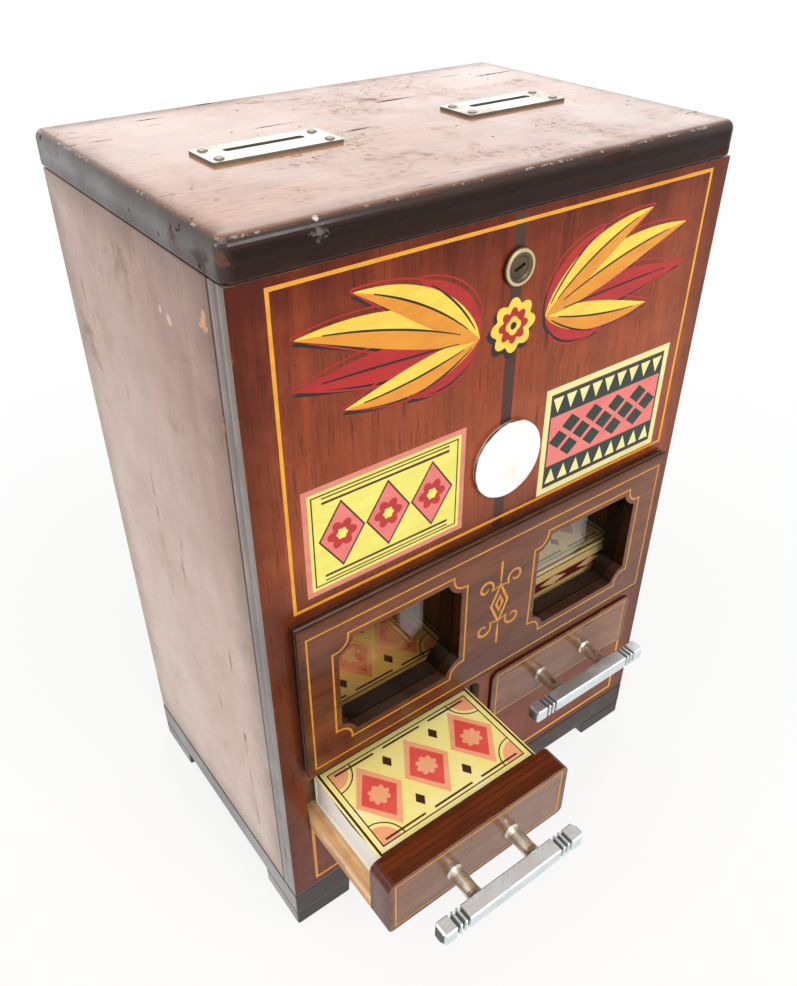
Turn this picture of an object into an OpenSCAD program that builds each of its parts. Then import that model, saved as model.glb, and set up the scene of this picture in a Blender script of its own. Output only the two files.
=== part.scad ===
// Coin-operated packet dispenser for a counter: a painted board cabinet that holds two columns of
// packets over two drawers. A drawer pulled out by its bar handle brings the lowest packet with it.
// Its riser then holds the column up, and the ramp along the riser tips the coin gate behind it.
// The origin lies on the counter under the middle of the case. The front faces -Y and +Z is up.

/* [Packets] */
// Length of a packet, across the machine
packet_w = 74.5; // [68:0.5:90]
// Width of a packet, front to back
packet_d = 44; // [38:0.5:56]
// Thickness of a packet
packet_h = 17; // [14:0.5:22]
// Card thickness of a packet's sleeve
card_t = 0.7; // [0.4:0.1:1.2]
// Packets left in the left column
left_count = 1; // [1:1:6]
// Packets left in the right column
right_count = 2; // [1:1:6]

/* [Case] */
// Height of the case boards above the counter
case_h = 284; // [268:1:330]
// Thickness of the side boards
side_t = 9; // [6:0.5:14]
// Thickness of the front board
front_t = 9; // [7:0.5:13]
// Thickness of the back panel
back_t = 6; // [4:0.5:10]
// Thickness of the divider between the two bays
divider_t = 6; // [4:0.5:8]
// Thickness of the guide strips beside a column
guide_t = 5; // [3:0.5:9]
// Thickness of the board behind the columns
column_back_t = 4; // [3:0.5:6]
// Open seam between the front board and a side board
seam = 0.5; // [0.2:0.1:1]

/* [Base] */
// Height of the feet
foot_h = 8.2; // [6:0.2:20]
// Length of a foot along the front and along a side
foot_l = 26.5; // [18:0.5:40]
// Slope of a foot's inner ends, as the length lost over its height
foot_rake = 0.5; // [0:0.5:8]
// Thickness of the base board
base_t = 12.8; // [8:0.2:18]
// How far the base board stands out past the front and the sides
base_proud = 0.2; // [0:0.1:5]
// Height from the base board up to the drawers
kick_h = 38.1; // [26:0.5:60]

/* [Lid] */
// Thickness of the lid
lid_t = 11.6; // [9:0.2:18]
// How far the lid stands out past each side
lid_over = 0.2; // [0:0.1:5]
// Worn rounding of the lid's top edge
lid_edge = 3; // [0.6:0.2:5]
// Worn rounding of the lid's two front corners
lid_corner = 3.4; // [0.6:0.2:6]
// Seam between the case and the lid
lid_gap = 0.4; // [0.2:0.1:1]

/* [Window panel] */
// How far the panel stands out from the front board
panel_t = 4.6; // [3:0.2:8]
// Bare front board left at each end of the panel
panel_margin = 8.5; // [6:0.5:14]
// Height of the rail between the drawers and the panel
rail_h = 8; // [4:0.5:14]
// Depth of the bead in the panel's top edge and ends
moulding_w = 1.2; // [0.8:0.1:2]
// Width of the painted border round a window
border_w = 59.2; // [46:0.2:64]
// Height of the painted border round a window
border_h = 52; // [40:0.5:70]
// Radius of the border's hollow corners
notch_r = 6.7; // [3:0.1:9]
// Panel left between the border and the window opening
window_inset = 2.6; // [2:0.1:6]
// Height of the border's lower edge above the panel's lower edge
window_sill = 9.5; // [7:0.5:16]
// Height of the panel above the border's upper edge
window_head = 10.6; // [7:0.2:14]
// How far a window's middle lies outside the middle of its bay
window_shift = 0.75; // [0:0.05:2]
// Ledge of front board that shows inside a window opening
window_ledge = 1; // [0.4:0.1:2]
// Thickness of the glass
glass_t = 2.2; // [1.6:0.1:3]
// How far the glass laps behind the front board
glass_lap = 4; // [2:0.5:6]

/* [Drawers] */
// Thickness of a drawer front
drawer_front_t = 11; // [8:0.5:14]
// How far a closed drawer front stands out from the front board
drawer_proud = 1.25; // [0.25:0.25:3]
// Thickness of a drawer's base board
drawer_board_t = 9; // [6:0.5:12]
// Height of the drawer front above the packet
drawer_rise = 2.4; // [1:0.2:5]
// Gap between a drawer front and its opening
drawer_gap = 0.4; // [0.3:0.1:0.8]
// Radius of the upper corners of a drawer opening
opening_r = 4; // [1.5:0.5:8]
// Radius of the lower corners of a drawer front
drawer_corner = 2.2; // [0.4:0.2:4]
// Drawer travel past the width of a packet
travel_over = 8; // [3:0.5:14]
// Thickness of the stop at a drawer's tail
stop_t = 7.5; // [4:0.5:12]
// Height of the stop above the riser
stop_h = 3; // [2:0.5:5]
// How far the left drawer stands short of its stop
left_short = 1; // [0:0.5:30]

/* [Handles] */
// Length of a handle bar
bar_l = 67; // [52:1:78]
// Square section of a handle bar
bar_s = 6.2; // [4.5:0.1:9]
// Distance from the drawer front to the middle of the bar
bar_stand = 16; // [12:0.5:24]
// Height of the handle above the drawer's underside
handle_up = 12.4; // [9:0.2:18]
// Spacing of the two posts
post_span = 27.5; // [16:0.5:36]
// Radius of a post at its foot
post_r = 3.5; // [3.2:0.1:5]
// Radius of a post at its waist
post_waist = 2.9; // [2.2:0.1:3.1]
// Depth of the grooves round a bar
groove_deep = 1.1; // [0.3:0.1:1.2]
// Grooves near each end of a bar
groove_count = 3; // [1:1:4]

/* [Coin plates] */
// Length of a coin plate
plate_w = 45; // [38:0.5:56]
// Width of a coin plate
plate_d = 17; // [13:0.5:24]
// Thickness of a coin plate
plate_t = 1; // [0.8:0.1:3]
// Length of a coin slot
slot_w = 28; // [18:0.5:30]
// Width of a coin slot
slot_d = 3; // [1.6:0.1:3.4]
// How far a coin plate's middle lies in front of its slot
plate_set = 1.8; // [0:0.1:3]
// How far a coin slot lies outside the middle of its bay
coin_shift = 2.25; // [0:0.05:4]

/* [Coin works] */
// Width inside a coin chute
chute_w = 32; // [31:0.5:36]
// Depth inside a coin chute
chute_d = 7; // [5.5:0.25:9]
// Sheet metal thickness of the chutes and the gates
sheet_t = 0.8; // [0.5:0.1:1.2]
// Distance from the column back to the pivot of a coin gate
gate_reach = 23.6; // [20:0.2:28]
// Height of the pivot above the packet in the drawer
gate_rise = 13.9; // [11:0.1:18]
// Angle through which a drawer tips its gate
gate_swing = 12; // [6:0.5:16]
// Radius of the gate pins
gate_pin_r = 1; // [0.8:0.05:1.4]
// Height of the cash box
cash_h = 30; // [16:1:60]

/* [Lock] */
// Distance from the top of the case down to the lock
lock_down = 17; // [13:0.5:24]
// Radius of the lock's ring
lock_ring_r = 6.2; // [5.4:0.1:8]
// Radius of the lock case
lock_body_r = 4.4; // [4.2:0.05:4.6]
// Radius of the lock barrel
barrel_r = 3.3; // [2.6:0.1:3.8]
// Turn of the key slot from the level
key_tilt = 20; // [-90:1:90]
// Length of the lock cam
cam_l = 10; // [9:0.1:11]

/* [Disc] */
// Diameter of the enamelled disc
disc_d = 30.5; // [20:0.5:40]
// Thickness of the enamelled disc
disc_t = 2.2; // [1:0.1:4]
// Height of the disc's middle above the window panel
disc_up = 29; // [22:0.5:44]
// How far the disc lies to the right of the middle
disc_off = 1.5; // [-6:0.5:6]

/* [Hinges] */
// Spacing of the two lid hinges
hinge_span = 124; // [80:1:150]
// Length of a hinge
hinge_l = 28; // [20:0.5:40]
// Height of a hinge leaf
leaf_h = 10; // [8:0.2:11]
// Thickness of a hinge leaf
leaf_t = 1.2; // [0.8:0.1:1.6]
// Radius of a hinge knuckle
knuckle_r = 2.2; // [1.9:0.05:2.8]
// Radius of a hinge pin
hinge_pin_r = 1.1; // [0.8:0.05:1.3]

/* [Hidden] */
$fn = 48;

// Colours of the finishes
mahogany = "#6b2c1c";
dark_mahogany = "#4c2018";
plinth_black = "#2a2523";
bare_ply = "#b9793f";
pine = "#c39a63";
chrome = "#c9cbcc";
nickel = "#a79d8a";
steel = "#8f9296";
brass = "#8d6f3c";
enamel = "#efece4";
glass_tint = "#b9c6c2";
card_yellow = "#e3b83c";
card_green = "#6f9a6a";

// Clearances: a running gap, the play of a pin in its bore, of a screw in its hole, and of glass
run_gap = 0.3;
pin_play = 0.05;
screw_play = 0.1;
glass_play = 0.3;
cut = 1; // overshoot of a cutting shape past the face that it opens
arc_n = 6; // straight steps in a rounded corner

// Packets in their bays
packet_side_play = 1;
packet_back_play = 0.6;
stack_gap = 1.8; // room for the glass clips between the front board and a column
stack_step = packet_h + 0.15;
bay_w = packet_w + packet_side_play + 2 * guide_t;
bay_x = divider_t / 2 + bay_w / 2;
in_x = divider_t / 2 + bay_w;
hw = in_x + side_t;
case_w = 2 * hw;

// Depths: the case is as deep as a drawer's run behind the column needs
tail_room = 2.8;
travel = packet_d + travel_over;
case_d = front_t + stack_gap + packet_d + packet_back_play + column_back_t + run_gap + travel
    + stop_t + tail_room + back_t;
front_y = -case_d / 2;
back_y = case_d / 2;
in_front = front_y + front_t;
in_back = back_y - back_t;
column_front = in_front + stack_gap;
column_y = column_front + packet_d + packet_back_play;
column_rear = column_y + column_back_t;
stop_y = column_rear + run_gap + travel;
tail_y = stop_y + stop_t;
left_out = travel - left_short;

// Heights, from the counter up
base_top = foot_h + base_t;
drawer_z = base_top + kick_h;
board_top = drawer_z + drawer_board_t;
packet_top = board_top + packet_h;
riser_top = packet_top - 0.2;
drawer_h = drawer_board_t + packet_h + drawer_rise;
drawer_top = drawer_z + drawer_h;
opening_z = drawer_z - drawer_gap;
opening_top = drawer_top + drawer_gap;
opening_low_r = 0.4; // the lower corners of a drawer opening are nearly square
stack_z = packet_top + run_gap;
deck_t = 9;
bearer_s = 9;
deck_top = drawer_z - run_gap;
column_down = 6; // the column back ends this far under the lid
lock_room = 22; // the column guides end this far under the lock
keeper_room = 19; // the divider is cut away this far under the lock
column_top = case_h - column_down;
guide_top = case_h - lock_down - lock_room;
lid_z = case_h + lid_gap;
lid_top = lid_z + lid_t;

// Window panel on the front board
panel_w = case_w - 2 * panel_margin;
panel_z = opening_top + rail_h;
panel_h = window_sill + border_h + window_head;
panel_top = panel_z + panel_h;
window_x = bay_x + window_shift;
window_z = panel_z + window_sill + border_h / 2;
board_inset = window_inset + window_ledge;
rebate_w = border_w - 2 * board_inset + 2 * glass_lap;
rebate_h = border_h - 2 * board_inset + 2 * glass_lap;
clip_w = 10;
clip_h = 8;
clip_t = 0.8;
clip_x = rebate_w / 4;

// Drawers, as they stand when closed
drawer_x0 = divider_t / 2 + drawer_gap;
drawer_x1 = in_x - drawer_gap;
drawer_face = front_y - drawer_proud;
drawer_back = drawer_face + drawer_front_t;
base_side_gap = 0.8;
riser_y = column_y + 0.1;
handle_z = drawer_z + handle_up;
bar_y = drawer_face - bar_stand;
post_l = bar_stand - bar_s / 2;
handle_screw_r = 1.5;
handle_screw_bite = 6;
handle_head_r = 2.8;
handle_head_h = 1.6;

// Coin plates, chutes and gates
coin_x = bay_x + coin_shift;
coin_back = 5.2; // from the column back to the middle of a coin slot
coin_y = column_rear + coin_back;
plate_y = coin_y - plate_set;
lid_slot_w = slot_w + 2;
lid_slot_d = slot_d + 1;
plate_r = 0.9;
plate_pin_x = plate_w / 2 - 3.4;
plate_pin_y = plate_d / 2 - 3.2;
plate_pin_r = 0.8;
plate_pin_l = 7;
chute_flange = 6;
chute_flare = 2;
chute_down = 2; // the lip of a chute ends this far under the top of the case
chute_foot = 26.9; // height of a chute's lower end above the packet in the drawer
chute_z = packet_top + chute_foot;
chute_top = case_h - chute_down;
gate_y = column_rear + gate_reach;
gate_z = packet_top + gate_rise;
gate_hw = chute_w / 2 + 1;
gate_front = 1.6 - gate_reach; // the plate ends short of the column back
gate_eye_r = gate_pin_r + 1.4;
gate_plate_v = gate_eye_r - sheet_t;
gate_edge_v = gate_plate_v + 5.4;
gate_leg_u = 7.1 - gate_reach;
gate_leg_w = 5;
gate_foot_r = 2;
gate_foot_v = -(gate_rise + 1.4);
ear_x = gate_hw + 1.4;
ear_t = 1.2;
ear_h = 8;
ear_foot = 7;
gate_half = gate_swing / 2;

// Place of a gate's foot at an angle, from the pivot's turn
function foot_y(a) = gate_y + gate_leg_u * cos(a) - gate_foot_v * sin(a);
function foot_z(a) = gate_z + gate_leg_u * sin(a) + gate_foot_v * cos(a);
ramp_y0 = foot_y(gate_half);
ramp_z0 = foot_z(gate_half) - gate_foot_r - run_gap;
ramp_y1 = foot_y(-gate_half) + travel;
ramp_z1 = foot_z(-gate_half) - gate_foot_r - run_gap;
ramp_slope = (ramp_z1 - ramp_z0) / (ramp_y1 - ramp_y0);
ramp_start = ramp_y0 - gate_foot_r - 1;
ramp_w = gate_leg_w + 3;

// Cash shelf over the drawers' tails, and the box on it
shelf_t = 3;
shelf_z = riser_top + stop_h + 1.1;
shelf_y = gate_y + gate_eye_r + 2.1;
cash_t = 1;
cash_y0 = shelf_y + 1.5;
cash_y1 = in_back - 1;
cash_hw = in_x - 2.5;
cash_front_h = 4;

// Lock behind the front board, and the keeper under the lid that its cam holds down
lock_z = case_h - lock_down;
lock_ring_t = 1.6;
lock_nut_r = 7.5;
lock_nut_t = 3;
lock_case_end = in_front + 5;
barrel_end = lock_case_end + 2;
cam_t = 1.5;
cam_hub_r = 3.8;
cam_tip_r = 3;
cam_screw_r = 1.2;
cam_screw_bite = 5;
cam_y = barrel_end;
keeper_t = 1.2;
keeper_x = lock_body_r + 0.4;
keeper_w = 3.4;
keeper_leg_y = cam_y + cam_t + 3.9;
keeper_lip_y = lock_case_end;
keeper_lip_t = 1.4;
keeper_lip_top = lock_z - cam_tip_r - 0.6;
keeper_plate_w = 14;
keeper_plate_d = 11;
keeper_screw_r = 1.1;
keeper_screw_l = 6;

// Lid hinges behind the case
hinge_y = back_y + knuckle_r + run_gap;
hinge_z = case_h + lid_gap / 2;
hinge_x = hinge_span / 2;
knuckle_gap = 0.4;
hinge_screw_r = 1.1;
hinge_screw_l = 3.6;
hinge_screw_x = hinge_l / 2 - 4;
hinge_head_r = 2;
hinge_head_h = 1;

// Points of an arc, from one angle to another
function arc(cx, cy, r, a0, a1) =
    [for (i = [0 : arc_n]) let (a = a0 + (a1 - a0) * i / arc_n) [cx + r * cos(a), cy + r * sin(a)]];

// Rectangle with rounded corners, middle at the origin, with its own radius for the lower corners
function rounded_rect(w, h, r, low_r) = [
    each arc(-w / 2 + low_r, -h / 2 + low_r, low_r, 180, 270),
    each arc(w / 2 - low_r, -h / 2 + low_r, low_r, 270, 360),
    each arc(w / 2 - r, h / 2 - r, r, 0, 90),
    each arc(-w / 2 + r, h / 2 - r, r, 90, 180)
];

// Outline that runs a distance d inside a rectangle whose corners are hollowed by the radius r
function notched_rect(w, h, r, d) =
    let (e = asin(d / (r + d)))
    [for (k = [[1, -1, 180], [1, 1, 270], [-1, 1, 360], [-1, -1, 90]])
        each arc(k[0] * w / 2, k[1] * h / 2, r + d, k[2] - e, k[2] - 90 + e)];

// Box from its lowest corner to its highest
module block(a, b) {
    translate(a)
        cube(b - a);
}

// Solid through a list of rings that have the same number of points
module loft(rings) {
    m = len(rings[0]);
    n = len(rings);
    polyhedron(
        points = [for (ring = rings) each ring],
        faces = concat(
            [[for (i = [0 : m - 1]) i]],
            [[for (i = [0 : m - 1]) n * m - 1 - i]],
            [for (j = [0 : n - 2], i = [0 : m - 1]) let (low = j * m, high = low + m, k = (i + 1) % m)
                each [[low + i, high + i, high + k], [low + i, high + k, low + k]]]
        )
    );
}

// Board whose edge follows a profile of [inset, height] on both ends and on one long side
module edged_board(half_w, y0, y1, profile, near, far) {
    loft([for (p = profile) [
        [-half_w + p[0], y0 + near * p[0], p[1]],
        [half_w - p[0], y0 + near * p[0], p[1]],
        [half_w - p[0], y1 - far * p[0], p[1]],
        [-half_w + p[0], y1 - far * p[0], p[1]]
    ]]);
}

// Puts a right-hand piece on the right, s = 1, or mirrored on the left, s = -1
module on_side(s) {
    mirror([s < 0 ? 1 : 0, 0, 0])
        children();
}

// Stands a piece upright at a depth: its Y becomes height and its Z points to the front
module facing(y) {
    translate([0, y, 0])
        rotate([90, 0, 0])
            children();
}

// Lays a piece along the machine: its Z points to the right
module lengthwise(y, z) {
    translate([0, y, z])
        rotate([90, 0, 90])
            children();
}

// Spherical cap of a base radius and a height
module dome(r, h) {
    ball = (r * r + h * h) / (2 * h);
    intersection() {
        translate([0, 0, h - ball])
            sphere(r = ball);
        cylinder(h = h + cut, r = r + cut);
    }
}

// Screw or pin that points down from a domed head
module domed_pin(r, l, head_r, head_h) {
    translate([0, 0, -l])
        cylinder(h = l, r = r);
    dome(head_r, head_h);
}

// Hole for such a screw, from the face down
module pin_hole(r, l) {
    translate([0, 0, -l - 0.2])
        cylinder(h = l + 0.2 + cut, r = r + screw_play);
}

// Base and case

module foot() {
    x1 = hw + base_proud;
    y0 = front_y - base_proud;
    intersection() {
        facing(y0 + foot_l)
            linear_extrude(foot_l)
                polygon([[x1 - foot_l + foot_rake, 0], [x1, 0], [x1, foot_h], [x1 - foot_l, foot_h]]);
        lengthwise(0, 0)
            linear_extrude(x1 + cut)
                polygon([[y0, 0], [y0 + foot_l - foot_rake, 0], [y0 + foot_l, foot_h], [y0, foot_h]]);
    }
}

module feet() {
    middle_y = (front_y - base_proud + back_y) / 2;
    color(plinth_black)
        for (s = [-1, 1], t = [0, 1])
            on_side(s)
                translate([0, 2 * middle_y * t, 0])
                    mirror([0, t, 0])
                        foot();
}

module base_board() {
    ease = 1;
    color(plinth_black)
        translate([0, 0, foot_h])
            edged_board(hw + base_proud, front_y - base_proud, back_y,
                [[0, 0], [0, base_t - ease], [ease / 3, base_t - ease / 3], [ease, base_t]], 1, 0);
}

module side_board() {
    block([in_x, in_front + seam, base_top], [hw, back_y, case_h]);
}

module left_side() {
    color(mahogany)
        on_side(-1)
            side_board();
}

module right_side() {
    color(mahogany)
        side_board();
}

module back_panel() {
    color(pine)
        difference() {
            block([-in_x, in_back, base_top], [in_x, back_y, case_h]);
            hinge_screws_at(-1)
                pin_hole(hinge_screw_r, leaf_t + hinge_screw_l);
        }
}

module drawer_outline(gap, low_r) {
    w = bay_w - 2 * gap;
    h = opening_top - opening_z - 2 * gap;
    r = opening_r - gap;
    translate([bay_x, (opening_z + opening_top) / 2])
        polygon(rounded_rect(w, h, r, low_r));
}

module window_outline(inset) {
    translate([window_x, window_z])
        polygon(notched_rect(border_w, border_h, notch_r, inset));
}

module front_board() {
    color(mahogany)
        difference() {
            facing(in_front)
                linear_extrude(front_t)
                    difference() {
                        translate([-hw, base_top])
                            square([case_w, case_h - base_top]);
                        for (s = [-1, 1])
                            on_side(s) {
                                drawer_outline(0, opening_low_r);
                                window_outline(board_inset);
                            }
                    }
            for (s = [-1, 1])
                on_side(s)
                    block([window_x - rebate_w / 2, in_front - glass_t, window_z - rebate_h / 2],
                        [window_x + rebate_w / 2, in_front + cut, window_z + rebate_h / 2]);
            facing(in_front + cut)
                translate([0, lock_z, 0])
                    cylinder(h = front_t + 2 * cut, r = lock_body_r + screw_play);
        }
}

// Edge of the window panel: a fillet at the board, a bead in a quirk, and a lip up to the flat
function panel_profile() =
    let (w = moulding_w, t = panel_t, r = min(0.24 * t, 0.9 * w))
    [
        [0, 0],
        [0, 0.16 * t],
        [w, 0.16 * t],
        each arc(w, 0.44 * t, r, 270, 90),
        [w, 0.74 * t],
        [0, 0.78 * t],
        [0, t]
    ];

// The moulding runs on past the lower edge, where the panel is cut off plain
module window_panel() {
    color(dark_mahogany)
        difference() {
            facing(front_y)
                edged_board(panel_w / 2, panel_z - 2 * moulding_w, panel_top, panel_profile(), 1, 1);
            block([-hw, front_y - panel_t - cut, panel_z - 3 * moulding_w], [hw, front_y + cut, panel_z]);
            for (s = [-1, 1])
                on_side(s)
                    facing(front_y + cut)
                        linear_extrude(panel_t + 2 * cut)
                            window_outline(window_inset);
        }
}

module glass() {
    block([window_x - rebate_w / 2 + glass_play, in_front - glass_t, window_z - rebate_h / 2 + glass_play],
        [window_x + rebate_w / 2 - glass_play, in_front, window_z + rebate_h / 2 - glass_play]);
}

module left_glass() {
    color(glass_tint, 0.4)
        on_side(-1)
            glass();
}

module right_glass() {
    color(glass_tint, 0.4)
        glass();
}

module glass_clips() {
    lap = clip_h / 2;
    color(steel)
        for (s = [-1, 1], i = [-1, 1], j = [-1, 1])
            on_side(s)
                translate([window_x + i * clip_x, in_front, window_z + j * (rebate_h / 2 + lap - 1.5)])
                    rotate([-90, 0, 0]) {
                        linear_extrude(clip_t)
                            polygon(rounded_rect(clip_w, clip_h, 1.5, 1.5));
                        translate([0, -j * 1.5, clip_t])
                            dome(1.6, 0.5);
                    }
}

module enamel_disc() {
    r = disc_d / 2;
    color(enamel)
        facing(front_y)
            translate([disc_off, panel_top + disc_up, 0])
                rotate_extrude()
                    polygon([
                        [0, 0],
                        [r - 0.5, 0],
                        each arc(r - 0.3 * disc_t, 0.5 * disc_t, 0.3 * disc_t, -60, 80),
                        [r - 2.6, 0.86 * disc_t],
                        [r / 2, 0.96 * disc_t],
                        [0, disc_t]
                    ]);
}

// Inside the case

module centre_divider() {
    top_notch_z = lock_z - keeper_room;
    top_notch_y = in_front + 15;
    rail_top = stack_z + 0.1;
    color(pine)
        translate([-divider_t / 2, 0, 0])
            rotate([90, 0, 90])
                linear_extrude(divider_t)
                    polygon([
                        [in_front, deck_top],
                        [in_back, deck_top],
                        [in_back, rail_top],
                        [column_y, rail_top],
                        [column_y, column_top],
                        [top_notch_y, column_top],
                        [top_notch_y, top_notch_z],
                        [in_front, top_notch_z]
                    ]);
}

module column_back() {
    color(pine)
        block([-in_x, column_y, stack_z + run_gap], [in_x, column_rear, column_top]);
}

module column_guides() {
    for (x = [divider_t / 2, in_x - guide_t])
        block([x, in_front, drawer_top + 0.5], [x + guide_t, column_y, guide_top]);
}

module left_column_guides() {
    color(pine)
        on_side(-1)
            column_guides();
}

module right_column_guides() {
    color(pine)
        column_guides();
}

module drawer_deck() {
    color(pine)
        block([-in_x, in_front, deck_top - deck_t], [in_x, in_back, deck_top]);
}

module deck_bearers() {
    deck_under = deck_top - deck_t;
    color(pine)
        for (s = [-1, 1])
            on_side(s)
                block([in_x - bearer_s, in_front + seam, deck_under - bearer_s],
                    [in_x, in_back, deck_under]);
}

module cash_shelf() {
    color(pine)
        block([-in_x, shelf_y, shelf_z], [in_x, in_back, shelf_z + shelf_t]);
}

module cash_box() {
    z0 = shelf_z + shelf_t;
    color(steel)
        difference() {
            block([-cash_hw, cash_y0, z0], [cash_hw, cash_y1, z0 + cash_h]);
            block([-cash_hw + cash_t, cash_y0 + cash_t, z0 + cash_t],
                [cash_hw - cash_t, cash_y1 - cash_t, z0 + cash_h + cut]);
            block([-cash_hw + cash_t, cash_y0 - cut, z0 + cash_front_h],
                [cash_hw - cash_t, cash_y0 + cash_t + cut, z0 + cash_h + cut]);
        }
}

// Hat section of folded sheet on the column back, with a flared lip under the coin slot
module coin_chute() {
    half = chute_w / 2;
    rear = column_rear + chute_d;
    fold = chute_top - chute_flare;
    translate([coin_x, 0, 0]) {
        translate([0, 0, chute_z])
            linear_extrude(fold - chute_z)
                difference() {
                    union() {
                        translate([-half - sheet_t, column_rear])
                            square([chute_w + 2 * sheet_t, chute_d + sheet_t]);
                        translate([-half - chute_flange, column_rear])
                            square([chute_w + 2 * chute_flange, sheet_t]);
                    }
                    translate([-half, column_rear - cut])
                        square([chute_w, chute_d + cut]);
                }
        translate([-half, 0, 0])
            rotate([90, 0, 90])
                linear_extrude(chute_w)
                    polygon([
                        [rear, fold - sheet_t],
                        [rear + sheet_t, fold - sheet_t],
                        [rear + sheet_t, fold],
                        [rear + sheet_t + chute_flare, chute_top],
                        [rear + chute_flare, chute_top],
                        [rear, fold]
                    ]);
    }
}

module left_coin_chute() {
    color(steel)
        on_side(-1)
            coin_chute();
}

module right_coin_chute() {
    color(steel)
        coin_chute();
}

// Pair of ears that carry a gate's pin
module gate_bracket() {
    ear_end = gate_y + 4;
    for (s = [-1, 1])
        translate([coin_x, 0, gate_z])
            on_side(s)
                difference() {
                    union() {
                        block([ear_x, column_rear, -ear_h / 2], [ear_x + ear_t, ear_end, ear_h / 2]);
                        block([ear_x, column_rear, -ear_h / 2],
                            [ear_x + ear_t + ear_foot, column_rear + ear_t, ear_h / 2]);
                    }
                    translate([ear_x - cut, gate_y, 0])
                        rotate([0, 90, 0])
                            cylinder(h = ear_t + 2 * cut, r = gate_pin_r + pin_play);
                }
}

module left_gate_bracket() {
    color(steel)
        on_side(-1)
            gate_bracket();
}

module right_gate_bracket() {
    color(steel)
        gate_bracket();
}

module gate_pins() {
    head_l = 0.8;
    head_r = gate_pin_r + 0.7;
    end_x = ear_x + ear_t + run_gap;
    color(steel)
        for (s = [-1, 1])
            on_side(s)
                translate([coin_x - end_x, gate_y, gate_z])
                    rotate([0, 90, 0]) {
                        cylinder(h = 2 * end_x, r = gate_pin_r);
                        for (z = [-head_l, 2 * end_x])
                            translate([0, 0, z])
                                cylinder(h = head_l, r = head_r);
                    }
}

// Tipping plate with turned-up edges, and the leg that rides on a drawer's ramp
module coin_gate(angle) {
    translate([coin_x, gate_y, gate_z])
        rotate([angle, 0, 0])
            difference() {
                union() {
                    translate([-gate_hw, 0, 0])
                        rotate([0, 90, 0])
                            cylinder(h = 2 * gate_hw, r = gate_eye_r);
                    block([-gate_hw, gate_front, gate_plate_v], [gate_hw, 0.5, gate_plate_v + sheet_t]);
                    for (x = [-gate_hw, gate_hw - sheet_t])
                        block([x, gate_front, gate_plate_v], [x + sheet_t, 0.5, gate_edge_v]);
                    block([-gate_leg_w / 2, gate_leg_u - 1.5, gate_foot_v],
                        [gate_leg_w / 2, gate_leg_u + 1.5, gate_plate_v + sheet_t / 2]);
                    translate([-gate_leg_w / 2, gate_leg_u, gate_foot_v])
                        rotate([0, 90, 0])
                            cylinder(h = gate_leg_w, r = gate_foot_r);
                }
                translate([-gate_hw - cut, 0, 0])
                    rotate([0, 90, 0])
                        cylinder(h = 2 * gate_hw + 2 * cut, r = gate_pin_r + pin_play);
            }
}

module left_coin_gate() {
    color(brass)
        on_side(-1)
            coin_gate(gate_half - gate_swing * left_out / travel);
}

module right_coin_gate() {
    color(brass)
        coin_gate(gate_half);
}

// Packets: a card sleeve round a slide, whose end walls dip under the sleeve
module packet(y, z) {
    end_set = 0.8;
    scoop_sag = 3.6;
    scoop_half = 0.4 * packet_d;
    scoop_r = (scoop_half * scoop_half + scoop_sag * scoop_sag) / (2 * scoop_sag);
    scoop_deep = 7;
    translate([bay_x, y + packet_d / 2, z])
        difference() {
            block([-packet_w / 2, -packet_d / 2, 0], [packet_w / 2, packet_d / 2, packet_h]);
            for (s = [-1, 1])
                on_side(s) {
                    block([packet_w / 2 - end_set, -packet_d / 2 + card_t, card_t],
                        [packet_w / 2 + cut, packet_d / 2 - card_t, packet_h - card_t]);
                    intersection() {
                        translate([packet_w / 2 - scoop_deep, 0, packet_h - card_t - scoop_sag + scoop_r])
                            rotate([0, 90, 0])
                                cylinder(h = scoop_deep, r = scoop_r);
                        block([packet_w / 2 - scoop_deep, -packet_d / 2 + card_t, card_t],
                            [packet_w / 2, packet_d / 2 - card_t, packet_h - card_t]);
                    }
                }
        }
}

module stack(count) {
    for (i = [0 : count - 1])
        packet(column_front, stack_z + i * stack_step);
}

module left_stack() {
    color(card_yellow)
        on_side(-1)
            stack(left_count);
}

module right_stack() {
    color(card_green)
        stack(right_count);
}

// Lid, coin plates and hinges

// Outline of the lid at an inset and a height, with rounded front corners
function lid_ring(inset, z) =
    let (x = hw + lid_over - inset, y = front_y - lid_gap + inset, r = max(0.3, lid_corner - inset))
    let (front = concat(arc(-x + r, y + r, r, 180, 270), arc(x - r, y + r, r, 270, 360)))
    [for (p = concat(front, [[x, back_y], [-x, back_y]])) [p[0], p[1], lid_z + z]];

module lid() {
    low_r = 0.8;
    profile = [
        each arc(low_r, low_r, low_r, 270, 180),
        each arc(lid_edge, lid_t - lid_edge, lid_edge, 180, 90)
    ];
    color(mahogany)
        difference() {
            loft([for (p = profile) lid_ring(p[0], p[1])]);
            for (s = [-1, 1])
                on_side(s)
                    block([coin_x - lid_slot_w / 2, coin_y - lid_slot_d / 2, lid_z - cut],
                        [coin_x + lid_slot_w / 2, coin_y + lid_slot_d / 2, lid_top + cut]);
            plate_pins_at()
                pin_hole(plate_pin_r, plate_t + plate_pin_l);
            keeper_screws_at()
                pin_hole(keeper_screw_r, keeper_t + keeper_screw_l);
            hinge_screws_at(1)
                pin_hole(hinge_screw_r, leaf_t + hinge_screw_l);
        }
}

module plate_pins_at() {
    for (s = [-1, 1], i = [-1, 1], j = [-1, 1])
        on_side(s)
            translate([coin_x + i * plate_pin_x, plate_y + j * plate_pin_y, lid_top + plate_t])
                children();
}

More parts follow.
